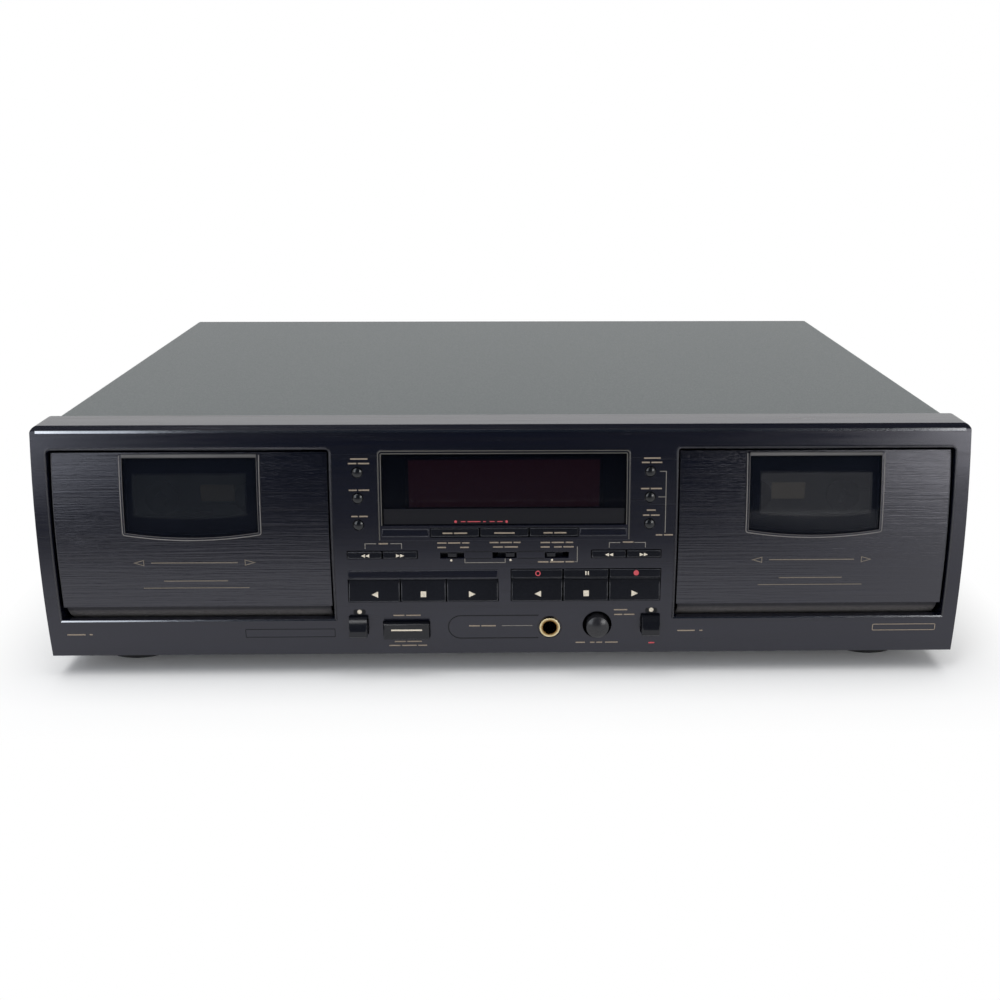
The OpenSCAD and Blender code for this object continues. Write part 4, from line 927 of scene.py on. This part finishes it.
def dark_outlines():
    """Dark printed outlines: round the headphone socket and its caption, between the slide
    switches, a plain frame under the left door and a patch behind each eject key's dot."""
    left, right, low, high, line = -20.3, 15.6, 18.9, 30.5, 0.5
    piece = start_piece("dark_outlines")
    for z in (high, low):
        span_bar(left, right, z, line)
    lay_on_panel(piece, BLACK_INK)
    piece = start_piece("socket_outline_end")
    disc(left, (low + high) / 2, (high - low + line) / 2, 64)
    hollow(line)
    bpy.ops.mesh.select_all(action="SELECT")
    bpy.ops.mesh.bisect(plane_co=(left * MM, 0, 0), plane_no=(1, 0, 0), clear_outer=True)
    lay_on_panel(piece, BLACK_INK)
    thin_line = 0.35
    piece = start_piece("slide_outlines")
    for x_from, x_to in ((-18.0, -5.8), (5.8, 18.0)):
        for z in (61.9, 58.6):
            span_bar(x_from, x_to, z, thin_line)
    bar(-99.2, 22.1, 41.5, 4.4, corner=0.5)
    hollow(thin_line)
    for x in EJECT_DOTS:
        bar(x, 32.65, 5.6, 2.6, corner=1.0)
    lay_on_panel(piece, BLACK_INK)


def label_frames():
    """A plain frame under the right door, and a red pointer under the right eject key."""
    piece = start_piece("label_frame")
    bar(186.2, 23.3, 29.6, 3.4, corner=0.7)
    hollow(0.35)
    lay_on_panel(piece, TAN_INK)
    piece = start_piece("red_pointer")
    bar(68.5, 15.9, 2.8, 0.7, corner=0.3)
    lay_on_panel(piece, RED_INK)


def door_prints():
    """Hollow arrows at both ends of a plain rule, and two finer rules under it."""
    row, arrow_off, arrow_size, arrow_line = 57.0, 25.2, (5.0, 3.0), 0.38
    rules = ((19.5, row, 0.5), (14.5, 48.2, 0.5), (24.0, 44.8, 0.4))
    for side, x in DECKS.items():
        piece = start_piece(f"{side}_door_print")
        for way in (-1, 1):
            arrow(x + way * arrow_off, row, *arrow_size, way)
            hollow(arrow_line)
        for half, z, high in rules:
            span_bar(x - half, x + half, z, high)
        lay_print(piece, f"{side}_door_panel", f"{side}_door", DOOR_INK)


def transport_symbols():
    """Reverse, stop and play on the large keys, and double arrows on the search keys."""
    row, arrow_size, stop_row, stop_size = 41.5, (2.95, 2.8), 41.6, (2.5, 2.6)
    for side, x in (("left", -37.2), ("right", 37.4)):
        piece = start_piece(f"{side}_reverse_symbol")
        arrow(x - 22.2, row, *arrow_size, -1)
        lay_on_key(piece, f"{side}_reverse_key", CREAM_INK)
        piece = start_piece(f"{side}_stop_symbol")
        bar(x, stop_row, *stop_size)
        lay_on_key(piece, f"{side}_stop_key", CREAM_INK)
        piece = start_piece(f"{side}_play_symbol")
        arrow(x + 22.3, row, *arrow_size, 1)
        lay_on_key(piece, f"{side}_play_key", CREAM_INK)
    search_row, search_size, half_pair = 60.45, (1.8, 1.5), 0.95
    for side, x in (("left", -55.2), ("right", 55.4)):
        for word, way, at in (("back", -1, x - 7.9), ("forward", 1, x + 7.9)):
            piece = start_piece(f"{side}_search_{word}_symbol")
            for place in (at - half_pair, at + half_pair):
                arrow(place, search_row, *search_size, way)
            lay_on_key(piece, f"{side}_search_{word}_key", CREAM_INK)


def recording_symbols():
    """Ring, two bars and disc on the slim keys over the right transport keys."""
    row, radius = 51.6, 1.2
    piece = start_piece("record_mute_symbol")
    disc(15.2, row, radius)
    hollow(0.4)
    lay_on_key(piece, "record_mute_key", RED_INK)
    piece = start_piece("pause_symbol")
    for x in (37.1, 38.2):
        bar(x, row, 0.55, 1.7)
    lay_on_key(piece, "pause_key", CREAM_INK)
    piece = start_piece("record_symbol")
    disc(60.1, row, radius)
    lay_on_key(piece, "record_key", RED_INK)


def button_prints():
    """A line on the power button, and captions on the keys under the display."""
    piece = start_piece("power_line")
    bar(-45.2, 24.8, 14.2, 0.75)
    lay_print(piece, "power_button", "power_button", CREAM_INK)
    strip = ((1, -27.9, -16.8, 2), (2, -4.6, 4.6, 1), (3, 17.7, 28.0, 2))
    for number, x_from, x_to, words in strip:
        piece = start_piece(f"strip_caption_{number}")
        caption(x_from, x_to, 70.9, words)
        lay_on_key(piece, f"strip_key_{number}", TAN_INK)


def display_marks():
    """A grey band along the foot of the display lens, with small red marks on it."""
    row = 75.8
    piece = start_piece("display_band")
    bar(0, 78.2, 108.6, 7.0, cuts=3)
    lay_print(piece, "display_window", "case", BAND_INK)
    piece = start_piece("display_marks")
    for x in (-22.0, 1.0):
        disc(x, row, 0.6)
    dashes = ((-19.6, -17.6), (-16.6, -10.8), (-9.6, -8.4), (-6.6, -4.4), (-3.2, -0.8))
    for x_from, x_to in dashes:
        span_bar(x_from, x_to, row, 0.4)
    lay_print(piece, "display_window", "case", RED_INK, PRINT_OVER)


# Paint behind the door lenses, and the trim round them

# The arc of a lens's foot, and half the width, the foot and the top of the paint behind it
LENS_ARC = 186.2
BORDER_HALF, BORDER_FOOT, BORDER_TOP = 29.4, 69.3, 104.3
BORDER_THICK = 0.06
BEHIND_Y = FACE_Y + 0.06


def cut_across(place, direction):
    bpy.ops.mesh.select_all(action="SELECT")
    bpy.ops.mesh.bisect(plane_co=place, plane_no=direction)


def clear_foot(off):
    """Height of the clear part's arched foot, at a place off its middle."""
    return CLEAR_LOW - CLEAR_SAG * (1 - (off / CLEAR_HALF) ** 2)


def bow_border(piece, x, centre):
    """Bows the rows under the clear part, from the lens's foot to the clear part's own."""
    for vertex in piece.data.vertices:
        if vertex.co.z <= (CLEAR_LOW + 0.01) * MM:
            share = (vertex.co.z / MM - BORDER_FOOT) / (CLEAR_LOW - BORDER_FOOT)
            across = vertex.co.x / MM - x
            start = BORDER_FOOT + LENS_ARC - math.sqrt(LENS_ARC ** 2 - across ** 2)
            end = clear_foot(min(abs(vertex.co.x / MM - centre), CLEAR_HALF))
            vertex.co.z = (start + share * (end - start)) * MM


def lens_borders():
    """Black paint behind each door lens, leaving a clear part with an arched lower edge."""
    for side, x in DECKS.items():
        piece = start_piece(f"{side}_lens_border")
        centre = CLEAR_MIDDLE[side]
        middle = (x * MM, BEHIND_Y, (BORDER_FOOT + BORDER_TOP) / 2 * MM)
        bpy.ops.mesh.primitive_grid_add(x_subdivisions=40, y_subdivisions=30, size=MM,
                                        location=middle, rotation=(-QUARTER, 0, 0))
        bpy.ops.transform.resize(value=(2 * BORDER_HALF, 1, BORDER_TOP - BORDER_FOOT),
                                 center_override=middle)
        for cut_x in (centre - CLEAR_HALF, centre + CLEAR_HALF):
            cut_across((cut_x * MM, 0, 0), (1, 0, 0))
        for cut_z in (CLEAR_LOW, CLEAR_HIGH):
            cut_across((0, 0, cut_z * MM), (0, 0, 1))
        bpy.ops.mesh.select_all(action="DESELECT")
        bpy.ops.object.mode_set(mode="OBJECT")
        bow_border(piece, x, centre)
        for face in piece.data.polygons:
            place = face.center / MM
            inside = abs(place.x - centre) < CLEAR_HALF and place.z < CLEAR_HIGH
            face.select = inside and place.z > clear_foot(place.x - centre)
        bpy.ops.object.mode_set(mode="EDIT")
        bpy.ops.mesh.delete(type="FACE")
        wrap_onto(piece, f"{side}_door_window", PRINT_LIFT, from_behind=True)
        coat_piece(piece, BORDER_THICK)
        keep_piece(piece, f"{side}_door", BLACK_INK)


# Half the trim's inner width, its foot and top, and how far its two edges lie outside that
TRIM_HALF, TRIM_LOW, TRIM_HIGH = 29.8, 69.0, 105.9
TRIM_OUTER, TRIM_INNER, TRIM_CORNER = 1.2, 0.15, 1.2
TRIM_FOOT_PARTS = 14
RAIL_HIGH = 105.6
DOOR_HALF = 61.4
DOOR_EDGE_HEIGHTS = range(40, 107, 6)


def trim_foot(across, grow):
    """Height of the trim's arched foot, at a place across the window."""
    return TRIM_LOW + LENS_ARC - math.sqrt((LENS_ARC + grow) ** 2 - across ** 2)


def along_foot(x, half, grow):
    parts = TRIM_FOOT_PARTS
    places = [-half + 2 * half * i / parts for i in range(parts + 1)]
    return [(x + across, trim_foot(across, grow)) for across in places]


def window_beads():
    """Edges of the trim round each door window and of the door, lighter as a painted highlight, and
    the frosted rail.
    """
    outer_bead, inner_bead, edge_bead, rail_bead = 0.22, 0.15, 0.2, 0.9
    corner_gap, edge_inset = 0.3, 0.25
    for side, x in DECKS.items():
        door = (f"{side}_door_panel", f"{side}_door")
        edge = TRIM_HALF + TRIM_OUTER
        turned = edge - TRIM_CORNER
        corner_z = trim_foot(turned, TRIM_OUTER) + TRIM_CORNER
        piece = start_piece(f"{side}_trim_outer")
        draw_line([(x - edge, TRIM_HIGH)] + turn(x - turned, corner_z, TRIM_CORNER, 180, 265)
                  + along_foot(x, turned - corner_gap, TRIM_OUTER)
                  + turn(x + turned, corner_z, TRIM_CORNER, 275, 360) + [(x + edge, TRIM_HIGH)])
        lay_bead(piece, *door, trim_highlight_skin, "door_plastic", outer_bead)
        edge = TRIM_HALF + TRIM_INNER
        piece = start_piece(f"{side}_trim_inner")
        draw_line([(x - edge, TRIM_HIGH)] + along_foot(x, edge, TRIM_INNER)
                  + [(x + edge, TRIM_HIGH)])
        lay_bead(piece, *door, trim_inner_highlight_skin, "door_plastic", inner_bead)
        outer_x = x + math.copysign(DOOR_HALF - edge_inset, x)
        piece = start_piece(f"{side}_door_edge")
        draw_line([(outer_x, z) for z in DOOR_EDGE_HEIGHTS])
        lay_bead(piece, *door, edge_highlight_skin, "door_plastic", edge_bead)
        piece = start_piece(f"{side}_window_rail")
        draw_line([(x - TRIM_HALF, RAIL_HIGH), (x + TRIM_HALF, RAIL_HIGH)])
        lay_bead(piece, *door, rail_skin, "door_plastic", rail_bead)


# Rounded edges of the panel and the keys, lighter as painted highlights, and the polished bands

BAND_ROOT = 0.6
LIP_RADIUS = 0.24
KEY_EDGE_RADIUS = 0.17


def edge_band(name, x, wide, depth, rise, lean):
    """Polished band along an edge: it stands at a depth behind the face, its upper edge leaning
    back, and its root is sunk in the panel."""
    low, high = rise
    at = (x, depth - lean / 2 + BAND_ROOT / 2, (low + high) / 2)
    piece = start_block(name, at, (wide, BAND_ROOT + lean, high - low))
    bpy.ops.mesh.select_all(action="DESELECT")
    bpy.ops.object.mode_set(mode="OBJECT")
    for vertex in piece.data.vertices:
        vertex.select = vertex.co.y < 0 and vertex.co.z > 0
    bpy.ops.object.mode_set(mode="EDIT")
    bpy.ops.transform.translate(value=(0, lean * MM, 0))
    end_block()
    keep_piece(piece, "case", polish_skin)


def opening_beads():
    """Rounded lip round each door opening, lighter than the panel as a painted highlight, and the
    polished band along its sill.
    """
    half, low, high, corner = 62.85, 29.05, 109.15, 1.9
    for side, x in DECKS.items():
        piece = start_piece(f"{side}_opening_bead")
        draw_arch(x - half, x + half, low, high, corner)
        lay_bead(piece, "front_panel", "case", lip_highlight_skin, "panel_plastic", LIP_RADIUS)
        edge_band(f"{side}_sill_band", x, 2 * half, -0.21, (28.75, 29.4), 0.33)


def top_edge():
    """Polished band over the edge where the face meets the top bevel."""
    edge_band("top_edge_band", 0, 415.0, 8.14, (115.95, 117.05), 0.4)


def frame_beads():
    """Two rounded edges of the raised frame round the display and its keys, lighter than the panel
    as a painted highlight.
    """
    edges = (("outer", 56.3, 67.75, 107.9, 1.5), ("inner", 55.2, 74.6, 106.8, 0.6))
    for name, half, low, high, corner in edges:
        piece = start_piece(f"frame_bead_{name}")
        draw_arch(-half, half, low, high, corner)
        lay_bead(piece, "front_panel", "case", frame_highlight_skin, "panel_plastic", LIP_RADIUS)


def outline(name, target, body, slot, left, right, low, high):
    piece = start_piece(name)
    draw_line([(left, low), (right, low), (right, high), (left, high), (left, low)])
    lay_bead(piece, target, body, edge_highlight_skin, slot, KEY_EDGE_RADIUS)


def key_edges():
    """Rounded edges of the flat keys, and of the blanks moulded beside them, lighter than the
    plastic as a painted highlight.
    """
    large, search, slim, strip = (38.0, 48.6), (59.0, 62.3), (49.3, 53.3), (69.15, 73.05)
    rims = {"reverse_key": large, "stop_key": large, "play_key": large,
            "search_back_key": search, "search_forward_key": search}
    flat_keys = {f"{side}_{key}": rim for side in DECKS for key, rim in rims.items()}
    flat_keys.update({key: slim for key in ("record_mute_key", "pause_key", "record_key")})
    flat_keys.update({f"strip_key_{number}": strip for number in (1, 2, 3)})
    inset = 0.3
    for key, (low, high) in flat_keys.items():
        corner_a, corner_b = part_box(key)
        left, right = corner_a[0] / MM + inset, corner_b[0] / MM - inset
        outline(f"{key}_edge", key, key, "key_plastic", left, right, low + inset, high - inset)
    panel = ("front_panel", "case", "panel_plastic")
    for side, left, right in (("left", -55.0, -34.4), ("right", 34.4, 55.0)):
        outline(f"{side}_strip_blank_edge", *panel, left, right, 69.4, 72.8)
    outline("bar_blank_edge", *panel, -69.0, -3.4, 49.6, 53.0)


def lamp_windows():
    """Small moulded diffuser on each mechanism plate, between the spindles."""
    inward, depth, high, size = 5.0, 33.2, 80.0, (16.0, 1.4, 8.0)
    skin = lamp_finish()
    for side, x in DECKS.items():
        at = (x - math.copysign(inward, x), depth, high)
        piece = start_block(f"{side}_lamp_window", at, size)
        bpy.ops.mesh.bevel(offset=0.4 * MM, segments=3)
        end_block()
        keep_piece(piece, "case", skin)


set_camera()
set_world()
set_stage()
dress_nodes()
panel_captions()
panel_lines()
panel_dots()
dark_outlines()
label_frames()
door_prints()
transport_symbols()
recording_symbols()
button_prints()
display_marks()
lens_borders()
opening_beads()
top_edge()
key_edges()
frame_beads()
window_beads()
lamp_windows()

clear_selection()
